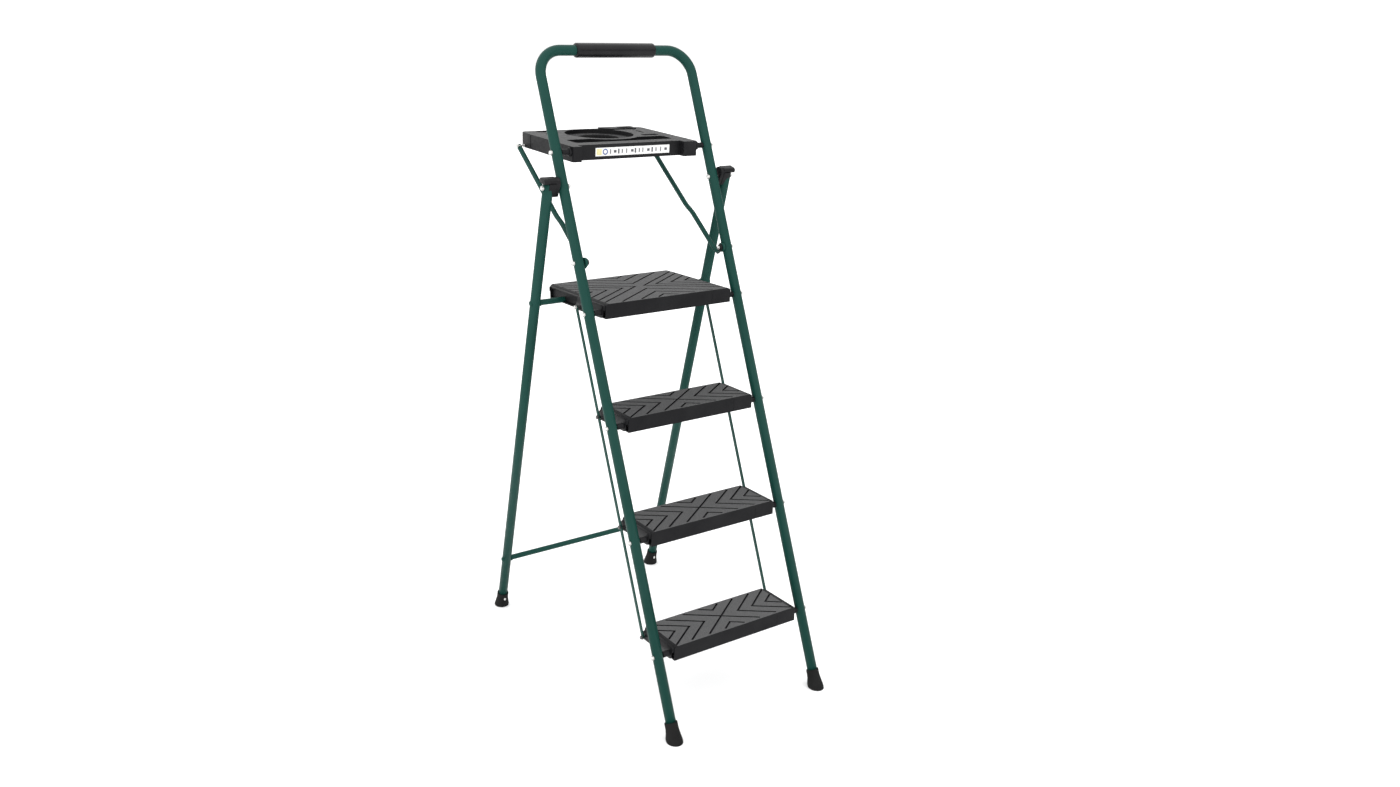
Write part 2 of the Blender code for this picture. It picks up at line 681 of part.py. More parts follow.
def crossbar_clip(hinge):
    """A saddle under the top pan that seats on the upper crossbar and locks the open frame."""
    bar = leg_point(UPPER_CROSSBAR_HEIGHT) - STEP_PIVOTS[-1]
    play = CROSSBAR / 2 + FIT
    top = PAN_TOP - PAN_STEEL - FIT
    shape = bmesh.new()
    corners = [(bar.y - CLIP_HALF_TOP, top, 0.001), (bar.y - CLIP_HALF_LIP, bar.z + CLIP_FRONT_LIP, 0.001),
               (bar.y + CLIP_HALF_LIP, bar.z - CLIP_BACK_LIP, 0.002), (bar.y + CLIP_HALF_TOP, top, 0.001)]
    add_plate_x(shape, rounded_outline(corners), -CLIP_WIDTH / 2, CLIP_WIDTH / 2)
    made = put("crossbar_clip", finish_mesh(shape, "crossbar_clip"), hinge, BLACK_PLASTIC)
    seat = bmesh.new()
    add_round_x(seat, play, -CLIP_WIDTH, CLIP_WIDTH, bar.y, bar.z)
    cut(made, seat, "seat")


for step in range(STEPS):
    hinge = empty("step_hinge_%d" % (step + 1), STEP_PIVOTS[step])
    tread(step, hinge)
    step_pan(step, hinge)
    for side_name, side in both_sides():
        step_bolt(step, side_name, side)
        link_rivet(step, side_name, side, hinge)
crossbar_clip(hinge)
top_rivet = empty("link_hinge", LINK_OFFSET, -RAIL_LEAN, hinge)
for side_name, side in both_sides():
    link_bar(side_name, side, top_rivet)


# ---- tool tray and its support rods ------------------------------------------------------

tray_hinge = empty("tray_hinge", TRAY_PIVOT, TRAY_TILT)
TRAY_BACK = TRAY_DEPTH - TRAY_FRONT
TRAY_LOW = TRAY_ABOVE_PIVOT - TRAY_THICKNESS
FRONT_BIN = (0.138, 0.040, 0.078)      # half width, front and back edge of the long bin
TOOL_HOLE = 0.022
TOOL_HOLE_X = 0.112
TOOL_HOLE_BACK = 0.228
TOOL_SLOT_HALF = 0.020
TOOL_SLOT_SPAN = (0.106, 0.122)


def plan(half_width, front, back, corner, middle=0.0):
    """A rounded rectangle in X and Y."""
    left, right = middle - half_width, middle + half_width
    return rounded_outline([(left, front, corner), (right, front, corner),
                            (right, back, corner), (left, back, corner)])


def tray():
    """A moulded tray, open below, with a stepped bucket hole, a long bin and small tool holes."""
    body = bmesh.new()
    add_plate_z(body, plan(TRAY_HALF, -TRAY_FRONT, TRAY_BACK, TRAY_CORNER), TRAY_LOW, TRAY_ABOVE_PIVOT)
    made = put("tool_tray", finish_mesh(body, "tool_tray"), tray_hinge, BLACK_PLASTIC)
    inside = bmesh.new()
    deck_low = TRAY_ABOVE_PIVOT - TRAY_DECK
    rim_floor = TRAY_ABOVE_PIVOT - BUCKET_RIM_DEPTH
    bin_floor = TRAY_ABOVE_PIVOT - BIN_DEPTH
    add_plate_z(inside, plan(TRAY_HALF - TRAY_WALL, TRAY_WALL - TRAY_FRONT, TRAY_BACK - TRAY_WALL,
                             TRAY_CORNER - TRAY_WALL), TRAY_LOW - PAST, deck_low)
    cut(made, inside, "inside")
    half, front, back = FRONT_BIN
    under = bmesh.new()
    add_plate_z(under, plan(half + TRAY_WALL, front - TRAY_WALL, back + TRAY_WALL, 0.010),
                bin_floor - TRAY_DECK, deck_low + TRAY_DECK / 2)
    join(made, under, "bin_walls")
    under = bmesh.new()
    add_round_z(under, BUCKET_RIM / 2 + TRAY_WALL, 0, BUCKET_BACK, rim_floor - TRAY_DECK,
                deck_low + TRAY_DECK / 2, 2 * ROUND_SIDES)
    join(made, under, "bucket_walls")
    pockets = bmesh.new()
    add_plate_z(pockets, plan(half, front, back, 0.008), bin_floor, TRAY_THICKNESS)
    cut(made, pockets, "bin")
    pockets = bmesh.new()
    add_round_z(pockets, BUCKET_RIM / 2, 0, BUCKET_BACK, rim_floor, TRAY_THICKNESS, 2 * ROUND_SIDES)
    cut(made, pockets, "bucket_rim")
    holes = bmesh.new()
    add_round_z(holes, BUCKET_HOLE / 2, 0, BUCKET_BACK, 2 * TRAY_LOW, TRAY_THICKNESS, 2 * ROUND_SIDES)
    for x in (-TOOL_HOLE_X, TOOL_HOLE_X):
        add_round_z(holes, TOOL_HOLE / 2, x, TOOL_HOLE_BACK, 2 * TRAY_LOW, TRAY_THICKNESS)
        slot = plan(TOOL_SLOT_HALF, *TOOL_SLOT_SPAN, 0.006, x)
        add_plate_z(holes, slot, 2 * TRAY_LOW, TRAY_THICKNESS)
    cut(made, holes, "holes")
    pivot = bmesh.new()
    for side in (-1, 1):
        x_low, x_high = span(side, TRAY_HALF - 2 * TRAY_WALL, TRAY_HALF + TRAY_WALL)
        add_round_x(pivot, BOLT_HOLE, x_low, x_high, sides=HOLE_SIDES)
    cut(made, pivot, "bolt_holes")


def tray_bolt(side_name, side):
    """A bolt through the rail, the spacer and the tray wall, with its nut inside the tray."""
    shank = BOLT / 2
    head = BOLT_HEAD / 2
    outer = RAIL_OUT + FIT
    inner = TRAY_HALF - TRAY_WALL - FIT
    end = inner - NUT_HEIGHT
    profile = domed_head(outer) + [(shank, outer), (shank, inner), (head, inner), (head, end), (0, end)]
    turned_x("tray_bolt_" + side_name, profile, side, (0, *TRAY_PIVOT.yz), None, ZINC)


def tray_spacer(side_name, side):
    """A black bush that keeps the tray clear of the rail, with a flange against the tray."""
    seat = TRAY_HALF + FIT
    flange = seat + BUSH_FLANGE_THICK
    profile = [(BOLT_HOLE, RAIL_IN - FIT), (BUSH / 2, RAIL_IN - FIT), (BUSH / 2, flange),
               (BUSH_FLANGE / 2, flange), (BUSH_FLANGE / 2, seat), (BOLT_HOLE, seat)]
    turned_x("tray_spacer_" + side_name, profile, side, (0, *TRAY_PIVOT.yz), None, BLACK_PLASTIC)


def tray_pin_place():
    """The pin of the support rods, in the ladder's own frame, at rest."""
    turn = Matrix.Rotation(TRAY_TILT, 3, 'X')
    return TRAY_PIVOT + turn @ Vector((0, TRAY_PIN_BACK, -TRAY_PIN_DROP))


PIN = tray_pin_place() - ROD_PIVOT
PIN_REACH = hypot(PIN.y, PIN.z)
# The straight part of the rod runs beside its pivot, ROD_OFFSET away, and ends on the pin.
ROD_LENGTH = (PIN_REACH ** 2 - ROD_OFFSET ** 2) ** 0.5
ROD_TURN = atan2(PIN.z, PIN.y) + atan2(ROD_OFFSET, ROD_LENGTH)
EYE_OUT = RAIL_IN - FIT
CAP_SEAT = EYE_OUT - ROD_EYE_THICK - FIT      # inner face of the eye, where the cap nut sits
ROD_BOLT_END = CAP_SEAT - CAP_NUT_BORE + FIT


def support_rod(side_name, side):
    """A round rod with a hook at its foot that ends in an eye on the rail's inner side.

    In its own frame the rod runs along Y, and the eye is on the hinge line.
    """
    hinge = empty("tray_rod_hinge_" + side_name, ROD_PIVOT, ROD_TURN)
    hook_x = EYE_OUT - ROD / 2 - FIT
    hook_z = -(CAP_NUT / 2 + ROD / 2 + 2 * FIT)
    path = [(ROD_X, ROD_LENGTH + ROD / 2, -ROD_OFFSET), (ROD_X, ROD_BEND_START, -ROD_OFFSET)]
    bends = 6
    hook_end = -FIT * bends
    for i in range(1, bends + 1):
        share = (1 - cos(pi * i / bends)) / 2
        y = ROD_BEND_START + (hook_end - ROD_BEND_START) * i / bends
        path.append((ROD_X + (hook_x - ROD_X) * share, y, (hook_z + ROD_OFFSET) * share - ROD_OFFSET))
    path = [(side * x, y, z) for x, y, z in path]
    mesh = tube_mesh("tray_rod_" + side_name, path, ROD / 2, 4, True)
    made = put("tray_rod_" + side_name, mesh, hinge, GREEN_PAINT)
    eye = bmesh.new()
    x_low, x_high = span(side, EYE_OUT - ROD_EYE_THICK, EYE_OUT)
    add_round_x(eye, ROD_EYE / 2, x_low, x_high)
    join(made, eye, "eye")
    hole = bmesh.new()
    x_low, x_high = span(side, EYE_OUT - ROD_EYE, EYE_OUT + PAST)
    add_round_x(hole, BOLT_HOLE, x_low, x_high, sides=HOLE_SIDES)
    cut(made, hole, "hole")
    return hinge


def rod_bolt(side_name, side):
    """A bolt through the rail and the rod's eye, ending inside its cap nut."""
    shank = BOLT / 2
    outer = RAIL_OUT + FIT
    profile = domed_head(outer) + [(shank, outer), (shank, ROD_BOLT_END), (0, ROD_BOLT_END)]
    turned_x("tray_rod_bolt_" + side_name, profile, side, (0, *ROD_PIVOT.yz), None, ZINC)


def cap_nut(side_name, side):
    """A black round cap nut against the eye, with a blind bore."""
    blind = ROD_BOLT_END - FIT
    crown = blind - CAP_NUT_CROWN
    radius = CAP_NUT / 2
    shoulder = CAP_SEAT - 0.6 * (CAP_SEAT - crown)
    profile = [(0, blind), (BOLT_HOLE, blind), (BOLT_HOLE, CAP_SEAT), (radius, CAP_SEAT),
               (radius, shoulder), (radius * 0.75, crown + 0.0006), (0, crown)]
    turned_x("rod_cap_nut_" + side_name, profile, side, (0, *ROD_PIVOT.yz), None, BLACK_PLASTIC)


def rod_pin(side_name, side, hinge):
    """The short pin at the rod's top, with its head outside the rod."""
    hole = bmesh.new()
    rod = bpy.data.objects["tray_rod_" + side_name]
    x_low, x_high = span(side, ROD_X - ROD, ROD_X + ROD)
    add_round_x(hole, RIVET_HOLE, x_low, x_high, ROD_LENGTH, -ROD_OFFSET, sides=HOLE_SIDES)
    cut(rod, hole, "pin_hole")
    outer = ROD_X + ROD / 2 + FIT
    inner = ROD_X - ROD / 2 - FIT
    end = TRAY_HALF + 2 * FIT
    shank = RIVET / 2
    head = RIVET_HEAD / 2
    profile = domed_head(outer, RIVET_HEAD, RIVET_HEAD_HEIGHT)
    profile += [(shank, outer), (shank, inner), (head, inner), (head, end), (0, end)]
    turned_x("tray_rod_pin_" + side_name, profile, side, (0, ROD_LENGTH, -ROD_OFFSET), hinge, ZINC)


tray()
for side_name, side in both_sides():
    tray_bolt(side_name, side)
    tray_spacer(side_name, side)
    rod_hinge = support_rod(side_name, side)
    rod_bolt(side_name, side)
    cap_nut(side_name, side)
    rod_pin(side_name, side, rod_hinge)
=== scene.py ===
"""Looks of a folding four-step ladder with a tool tray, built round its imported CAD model."""

import json

import bmesh
import bpy
from math import atan2, cos, hypot, pi, radians, sin
from mathutils import Matrix, Vector


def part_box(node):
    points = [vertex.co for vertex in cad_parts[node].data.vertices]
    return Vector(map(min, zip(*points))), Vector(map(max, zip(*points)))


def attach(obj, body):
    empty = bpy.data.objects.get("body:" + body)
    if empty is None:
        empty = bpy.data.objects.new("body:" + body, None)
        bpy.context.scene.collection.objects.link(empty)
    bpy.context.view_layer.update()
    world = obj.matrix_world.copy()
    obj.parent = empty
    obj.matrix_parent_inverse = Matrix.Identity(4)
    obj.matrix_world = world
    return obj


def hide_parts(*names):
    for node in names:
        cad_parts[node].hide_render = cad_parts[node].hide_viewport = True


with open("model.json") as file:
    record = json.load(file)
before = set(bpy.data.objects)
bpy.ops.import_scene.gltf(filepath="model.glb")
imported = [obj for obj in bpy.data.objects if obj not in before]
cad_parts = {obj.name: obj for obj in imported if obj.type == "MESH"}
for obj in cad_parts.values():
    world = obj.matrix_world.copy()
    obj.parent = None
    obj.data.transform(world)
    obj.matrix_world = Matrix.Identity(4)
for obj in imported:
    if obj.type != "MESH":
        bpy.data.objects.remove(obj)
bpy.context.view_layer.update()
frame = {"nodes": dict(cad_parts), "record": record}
nodes = frame["nodes"]
joints = {joint["name"]: joint for joint in frame["record"]["behaviour"]["joints"]}
SIDES = {"left": -1, "right": 1}

# ---- Viewpoint, floor and light ----------------------------------------------------------
# The ladder is seen from its front left, a little above the tray. It stands on a wide pale
# floor under one very wide soft light, with a pale room all round it.

EYE = Vector((-1.4069, -2.2166, 1.4697))
TURN, NOD, ROLL = radians(-34.393), radians(-17.306), radians(0.396)
LENS, SENSOR = 29.29, 36.0
ROOM_LIGHT, ROOM_WALL = 0.25, 1.05            # the room's light on the ladder, and how white it looks
LAMP_FROM = (-1.0, -0.4, 3.0)
LAMP_SPREAD = radians(165)
LAMP_POWER = 4.7

bpy.ops.object.camera_add(location=EYE)
camera = bpy.context.object
camera.rotation_mode = 'QUATERNION'
aim = Matrix.Rotation(TURN, 3, 'Z') @ Matrix.Rotation(pi / 2 + NOD, 3, 'X') @ Matrix.Rotation(ROLL, 3, 'Z')
camera.rotation_quaternion = aim.to_quaternion()
camera.data.lens = LENS
camera.data.sensor_width = SENSOR
camera.data.shift_x = 0.0062
camera.data.shift_y = 0.0044
bpy.context.scene.camera = camera
bpy.context.scene.view_settings.view_transform = 'Standard'

bpy.ops.mesh.primitive_plane_add(size=120)
floor = bpy.context.object
floor.name = "floor"
floor_finish = bpy.data.materials.new("pale_floor")
floor_finish.use_nodes = True
floor_shader = floor_finish.node_tree.nodes["Principled BSDF"]
floor_shader.inputs["Base Color"].default_value = (0.94, 0.94, 0.94, 1)
floor_shader.inputs["Roughness"].default_value = 0.9
floor_shader.inputs["Specular IOR Level"].default_value = 0.1
floor.data.materials.append(floor_finish)

room = bpy.data.worlds.new("pale_room")
room.use_nodes = True
seen = room.node_tree.nodes.new("ShaderNodeLightPath")
wall = room.node_tree.nodes.new("ShaderNodeMapRange")
wall.inputs["To Min"].default_value = ROOM_LIGHT
wall.inputs["To Max"].default_value = ROOM_WALL
room.node_tree.links.new(seen.outputs["Is Camera Ray"], wall.inputs["Value"])
room.node_tree.nodes["Background"].inputs["Color"].default_value = (1, 1, 1, 1)
room.node_tree.links.new(wall.outputs["Result"], room.node_tree.nodes["Background"].inputs["Strength"])
bpy.context.scene.world = room

bpy.ops.object.light_add(type='SUN', location=LAMP_FROM)
lamp = bpy.context.object
lamp.name = "overhead_soft_light"
lamp.rotation_euler = (-Vector(LAMP_FROM)).to_track_quat('-Z', 'Y').to_euler()
lamp.data.angle = LAMP_SPREAD
lamp.data.energy = LAMP_POWER

# ---- Front frame tube --------------------------------------------------------------------
# One length of 24 mm steel tube, bent twice into a hoop, makes both rails and the hand bar.
# It is painted with a smooth dark green coat over the whole frame.

TUBE = 0.024
TUBE_WALL = 0.0012
TUBE_SIDES = 40
BEND = 0.060
BEND_STEPS = 14
TUBE_END = 0.012              # the tube stops this far above the sole of its foot
SAME_POINT = 0.00001          # points nearer than this are one point
RAIL_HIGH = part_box("front_frame_tube")[1]
RAIL_X = RAIL_HIGH.x - TUBE / 2
LEAN = atan2(joints["tray_fold"]["pos_m"][1] - joints["step_1_fold"]["pos_m"][1],
             joints["tray_fold"]["pos_m"][2] - joints["step_1_fold"]["pos_m"][2])
FIRST_PIVOT = Vector(joints["step_1_fold"]["pos_m"])
RAIL_FOOT_Y = FIRST_PIVOT.y - FIRST_PIVOT.z * sin(LEAN) / cos(LEAN)
BAR_HEIGHT = RAIL_HIGH.z - TUBE / 2
RAIL_TOP = BAR_HEIGHT / cos(LEAN)             # hand bar's axis, along the rail from the floor


def alone(piece):
    """Selects one piece and nothing else."""
    bpy.ops.object.select_all(action='DESELECT')
    piece.select_set(True)
    bpy.context.view_layer.objects.active = piece


def settle(piece, smooth=30):
    """Moves a piece's place into its mesh, turns its faces out and shades it."""
    alone(piece)
    bpy.ops.object.transform_apply(location=True, rotation=True, scale=True)
    bpy.ops.object.mode_set(mode='EDIT')
    bpy.ops.mesh.select_all(action='SELECT')
    bpy.ops.mesh.remove_doubles(threshold=SAME_POINT)
    bpy.ops.mesh.normals_make_consistent(inside=False)
    bpy.ops.object.mode_set(mode='OBJECT')
    bpy.ops.object.shade_smooth_by_angle(angle=radians(smooth))


def shape_with(piece, kind, **settings):
    """Adds a modifier to a piece, with these settings, and applies it."""
    alone(piece)
    change = piece.modifiers.new(kind.lower(), kind)
    for setting, value in settings.items():
        setattr(change, setting, value)
    bpy.ops.object.modifier_apply(modifier=change.name)


def stretch(*offset):
    """Extrudes what is selected in edit mode by an offset."""
    bpy.ops.mesh.extrude_region_move(TRANSFORM_OT_translate={"value": offset})


def finish_nodes(name):
    """A new material with its nodes, its shader and the piece's own coordinates."""
    made = bpy.data.materials.new(name)
    made.use_nodes = True
    tree = made.node_tree
    place = tree.nodes.new("ShaderNodeTexCoord")
    return made, tree, tree.nodes["Principled BSDF"], place.outputs["Object"]


def grain(tree, place, scale, detail=3.0, roughness=0.5):
    """A noise texture at a scale, read at a place."""
    noise = tree.nodes.new("ShaderNodeTexNoise")
    noise.inputs["Scale"].default_value = scale
    noise.inputs["Detail"].default_value = detail
    noise.inputs["Roughness"].default_value = roughness
    tree.links.new(place, noise.inputs["Vector"])
    return noise.outputs["Fac"]


def spread(tree, value, low, high, from_low=0.3, from_high=0.7):
    """Maps a texture's middle range to a new range."""
    ramp = tree.nodes.new("ShaderNodeMapRange")
    ramp.inputs["From Min"].default_value = from_low
    ramp.inputs["From Max"].default_value = from_high
    ramp.inputs["To Min"].default_value = low
    ramp.inputs["To Max"].default_value = high
    tree.links.new(value, ramp.inputs["Value"])
    return ramp.outputs["Result"]


def blotch(tree, share, dark, light, socket):
    """Colours a socket between two colours by a share."""
    mix = tree.nodes.new("ShaderNodeMix")
    mix.data_type = 'RGBA'
    mix.inputs["A"].default_value = (*dark, 1)
    mix.inputs["B"].default_value = (*light, 1)
    tree.links.new(share, mix.inputs["Factor"])
    tree.links.new(mix.outputs["Result"], socket)


def relief(tree, height, shader, strength, distance=0.001):
    """Roughens a shader's surface by a height."""
    bump = tree.nodes.new("ShaderNodeBump")
    bump.inputs["Strength"].default_value = strength
    bump.inputs["Distance"].default_value = distance
    tree.links.new(height, bump.inputs["Height"])
    tree.links.new(bump.outputs["Normal"], shader.inputs["Normal"])


green_paint, tree, shader, place = finish_nodes("green_paint")
patches = spread(tree, grain(tree, place, 9, 4), 0.0, 1.0)
blotch(tree, patches, (0.0055, 0.042, 0.033), (0.0080, 0.049, 0.039), shader.inputs["Base Color"])
tree.links.new(spread(tree, grain(tree, place, 60), 0.36, 0.50), shader.inputs["Roughness"])
shader.inputs["Specular IOR Level"].default_value = 0.12
relief(tree, grain(tree, place, 420, 2), shader, 0.10, 0.0004)


def keep(piece, name, finish, slot, body, *stands_for):
    """Names a finished piece, paints it, puts it on its body and hides what it stands for."""
    piece.name = name
    piece.data.name = name
    piece.data.materials.clear()
    piece.data.materials.append(finish)
    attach(piece, body)
    if stands_for:
        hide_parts(*stands_for)


def tube_end(x):
    """Draws the low end of an upright tube at a place across the ladder, ready to be stretched."""
    bpy.ops.mesh.primitive_circle_add(vertices=TUBE_SIDES, radius=TUBE / 2, location=(x, 0, TUBE_END))
    ring = bpy.context.object
    bpy.ops.object.transform_apply(location=True)
    bpy.ops.object.mode_set(mode='EDIT')
    bpy.ops.mesh.select_mode(type='VERT')
    bpy.ops.mesh.select_all(action='SELECT')
    return ring


# The hoop is drawn upright over the rails' feet, then leaned back.
hoop = tube_end(-RAIL_X)
stretch(0, 0, RAIL_TOP - BEND - TUBE_END)
bpy.ops.mesh.spin(steps=BEND_STEPS, angle=pi / 2, center=(BEND - RAIL_X, 0, RAIL_TOP - BEND),
                   axis=(0, -1, 0))
stretch(2 * (RAIL_X - BEND), 0, 0)
bpy.ops.mesh.spin(steps=BEND_STEPS, angle=pi / 2, center=(RAIL_X - BEND, 0, RAIL_TOP - BEND),
                   axis=(0, -1, 0))
stretch(0, 0, -(RAIL_TOP - BEND - TUBE_END))
bpy.ops.object.mode_set(mode='OBJECT')
hoop.rotation_euler.x = -LEAN
hoop.location.y = RAIL_FOOT_Y
settle(hoop)
shape_with(hoop, 'SOLIDIFY', thickness=TUBE_WALL, offset=-1, use_even_offset=True)
keep(hoop, "painted_hoop", green_paint, "green_paint", "frame", "front_frame_tube")

# ---- Hand grip ---------------------------------------------------------------------------
# A black foam sleeve is pushed over the middle of the hand bar before the tube is bent. It
# has closed, slightly shiny skin, soft round ends and shallow wrinkles where it was rolled on.

GRIP_END_ROUND = 0.005
grip_low, grip_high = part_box("hand_grip")
GRIP = grip_high.z - grip_low.z
BAR_PLACE = (grip_low + grip_high) / 2

foam, tree, shader, place = finish_nodes("foam_skin")
blotch(tree, spread(tree, grain(tree, place, 30), 0.0, 1.0), (0.004, 0.004, 0.005), (0.008, 0.008, 0.009),
       shader.inputs["Base Color"])
shader.inputs["Roughness"].default_value = 0.32
shader.inputs["Specular IOR Level"].default_value = 0.20
relief(tree, grain(tree, place, 260, 4, 0.7), shader, 0.25, 0.0006)

bpy.ops.mesh.primitive_cylinder_add(vertices=56, radius=GRIP / 2, depth=grip_high.x - grip_low.x,
                                    location=BAR_PLACE, rotation=(0, pi / 2, 0))
sleeve = bpy.context.object
bpy.ops.object.mode_set(mode='EDIT')
bpy.ops.mesh.select_all(action='DESELECT')
bpy.ops.mesh.select_mode(type='FACE')
caps = bmesh.from_edit_mesh(sleeve.data)
for face in caps.faces:
    face.select_set(len(face.verts) > 4)
bmesh.update_edit_mesh(sleeve.data)
bpy.ops.mesh.inset(thickness=(GRIP - TUBE) / 2)
bpy.ops.mesh.delete(type='FACE')
bpy.ops.object.mode_set(mode='OBJECT')
settle(sleeve)
shape_with(sleeve, 'BEVEL', width=GRIP_END_ROUND, segments=5, limit_method='ANGLE', angle_limit=radians(60))
settle(sleeve, 40)
keep(sleeve, "foam_sleeve", foam, "grip_foam", "frame", "hand_grip")

# ---- Rear legs and crossbars -------------------------------------------------------------
# The rear frame is two straight legs of the same tube. Two thinner bars run between them,
# pushed into the legs and held with a small run of weld under the green paint.

HINGE = Vector(joints["rear_frame_fold"]["pos_m"])
LEG_FOOT_Y = -RAIL_FOOT_Y
LEG_LEAN = atan2(LEG_FOOT_Y - HINGE.y, HINGE.z)
LEG_LENGTH = hypot(LEG_FOOT_Y - HINGE.y, HINGE.z)
LEG_PAST_HINGE = 0.0107
LEG_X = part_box("rear_leg_right")[1].x - TUBE / 2
CROSSBAR = 0.014
WELD = 0.0018
BUTTON_FLAT = 0.55            # the bar's peened end outside the leg, flattened from a ball


def gather(first, *others):
    """Joins pieces into the first one."""
    alone(first)
    for other in others:
        other.select_set(True)
    bpy.ops.object.join()
    return first


for side_name, side in SIDES.items():
    leg = tube_end(side * LEG_X)
    stretch(0, 0, LEG_LENGTH + LEG_PAST_HINGE - TUBE_END)
    bpy.ops.object.mode_set(mode='OBJECT')
    leg.rotation_euler.x = LEG_LEAN
    leg.location.y = LEG_FOOT_Y
    settle(leg)
    shape_with(leg, 'SOLIDIFY', thickness=TUBE_WALL, offset=-1, use_even_offset=True)
    keep(leg, "painted_leg_" + side_name, green_paint, "green_paint", "rear_frame", "rear_leg_" + side_name)

for bar_name in ("crossbar_lower", "crossbar_upper"):
    low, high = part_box(bar_name)
    middle = (low + high) / 2
    bpy.ops.mesh.primitive_cylinder_add(vertices=28, radius=CROSSBAR / 2, depth=2 * LEG_X,
                                        location=middle, rotation=(0, pi / 2, 0))
    bar = bpy.context.object
    welds = []
    for side in SIDES.values():
        seam = Vector((side * (LEG_X - TUBE / 2 - WELD / 4), middle.y, middle.z))
        bpy.ops.mesh.primitive_torus_add(major_segments=28, minor_segments=10, major_radius=CROSSBAR / 2,
                                         minor_radius=WELD, location=seam, rotation=(0, pi / 2, 0))
        welds.append(bpy.context.object)
        button = Vector((side * (LEG_X + TUBE / 2 - WELD / 2), middle.y, middle.z))
        bpy.ops.mesh.primitive_uv_sphere_add(segments=24, ring_count=12, radius=CROSSBAR / 2,
                                             location=button)
        bpy.context.object.scale.x = BUTTON_FLAT
        welds.append(bpy.context.object)
    gather(bar, *welds)
    settle(bar)
    keep(bar, "painted_" + bar_name, green_paint, "green_paint", "rear_frame", bar_name)

# ---- Hinge blocks and feet ---------------------------------------------------------------
# A moulded black nylon block caps the top of each rear leg and spaces it from the rail. Each
# leg and rail stands in a black rubber boot with a flared sole.

nylon, tree, shader, place = finish_nodes("black_nylon")
blotch(tree, spread(tree, grain(tree, place, 25), 0.0, 1.0), (0.006, 0.006, 0.007), (0.010, 0.010, 0.011),
       shader.inputs["Base Color"])
tree.links.new(spread(tree, grain(tree, place, 90), 0.38, 0.52), shader.inputs["Roughness"])
shader.inputs["Specular IOR Level"].default_value = 0.14
relief(tree, grain(tree, place, 1100, 2), shader, 0.20, 0.0003)

rubber, tree, shader, place = finish_nodes("black_rubber")
blotch(tree, spread(tree, grain(tree, place, 40), 0.0, 1.0), (0.005, 0.005, 0.005), (0.010, 0.010, 0.010),
       shader.inputs["Base Color"])
shader.inputs["Roughness"].default_value = 0.72
shader.inputs["Specular IOR Level"].default_value = 0.14
relief(tree, grain(tree, place, 380, 4, 0.6), shader, 0.30, 0.0006)


def refined(node, name, finish, slot, body, rounding, segments=3, smooth=35):
    """A merged copy of a node with its sharp edges rounded, kept in the node's place."""
    copy = bpy.data.objects.new(name, nodes[node].data.copy())
    bpy.context.collection.objects.link(copy)
    alone(copy)
    bpy.ops.object.mode_set(mode='EDIT')
    bpy.ops.mesh.select_all(action='SELECT')
    bpy.ops.mesh.remove_doubles(threshold=SAME_POINT)
    bpy.ops.mesh.dissolve_limited(angle_limit=radians(1))
    bpy.ops.object.mode_set(mode='OBJECT')
    if rounding:
        shape_with(copy, 'BEVEL', width=rounding, segments=segments, limit_method='ANGLE',
                   angle_limit=radians(35), use_clamp_overlap=True)
    alone(copy)
    bpy.ops.object.shade_smooth_by_angle(angle=radians(smooth))
    keep(copy, name, finish, slot, body, node)
    return copy


BLOCK_TAPER = (0.004, 0.019)   # below the hinge, where the block starts to narrow and where it ends
BLOCK_END = 0.55              # width left at its lower end
BLOCK_EDGE, BOOT_EDGE = 0.0012, 0.0009

for side_name in SIDES:
    shield = refined("hinge_block_" + side_name, "nylon_block_" + side_name, nylon, "black_plastic",
                     "rear_frame", BLOCK_EDGE)
    for point in shield.data.vertices:
        share = min(max((HINGE.z - point.co.z - BLOCK_TAPER[0]) / (BLOCK_TAPER[1] - BLOCK_TAPER[0]), 0), 1)
        on_leg = HINGE.y + (HINGE.z - point.co.z) * sin(LEG_LEAN) / cos(LEG_LEAN)
        point.co.y = on_leg + (point.co.y - on_leg) * (1 - (1 - BLOCK_END) * share)
    refined("front_foot_" + side_name, "front_boot_" + side_name, rubber, "rubber", "frame", BOOT_EDGE)
    refined("rear_foot_" + side_name, "rear_boot_" + side_name, rubber, "rubber", "rear_frame", BOOT_EDGE)

# ---- Bolts and rivets --------------------------------------------------------------------
# Every joint turns on a zinc plated bolt or rivet with a domed head or nut. The plating is
# bright, with faint turning marks. The link bars' small rivets on the lower steps get a darker
# copy of the plating: painted shade for the dark surroundings they reflect.

zinc, tree, shader, place = finish_nodes("zinc_plate")
blotch(tree, spread(tree, grain(tree, place, 220), 0.0, 1.0), (0.52, 0.52, 0.51), (0.74, 0.74, 0.72),
       shader.inputs["Base Color"])
tree.links.new(spread(tree, grain(tree, place, 500), 0.24, 0.38), shader.inputs["Roughness"])
shader.inputs["Metallic"].default_value = 1.0
relief(tree, grain(tree, place, 900, 2), shader, 0.12, 0.0002)

# A darker copy of the same zinc plating: painted shade for the dark surroundings the small rivets reflect.
painted_shade_zinc, tree, shader, place = finish_nodes("painted_shade_zinc")
blotch(tree, spread(tree, grain(tree, place, 220), 0.0, 1.0), (0.08, 0.08, 0.08), (0.16, 0.16, 0.16),
       shader.inputs["Base Color"])
shader.inputs["Roughness"].default_value = 0.30
shader.inputs["Metallic"].default_value = 1.0
relief(tree, grain(tree, place, 900, 2), shader, 0.12, 0.0002)

TURN_STEPS = 28
BOLT_SHANK, RIVET_SHANK = 0.0029, 0.0019      # radius
FLANGE = 0.0013               # washer under a cap nut
CROWN = 0.86                  # width of the crown above the washer
STRAIGHT = 0.45               # share of the crown's height before it rounds over


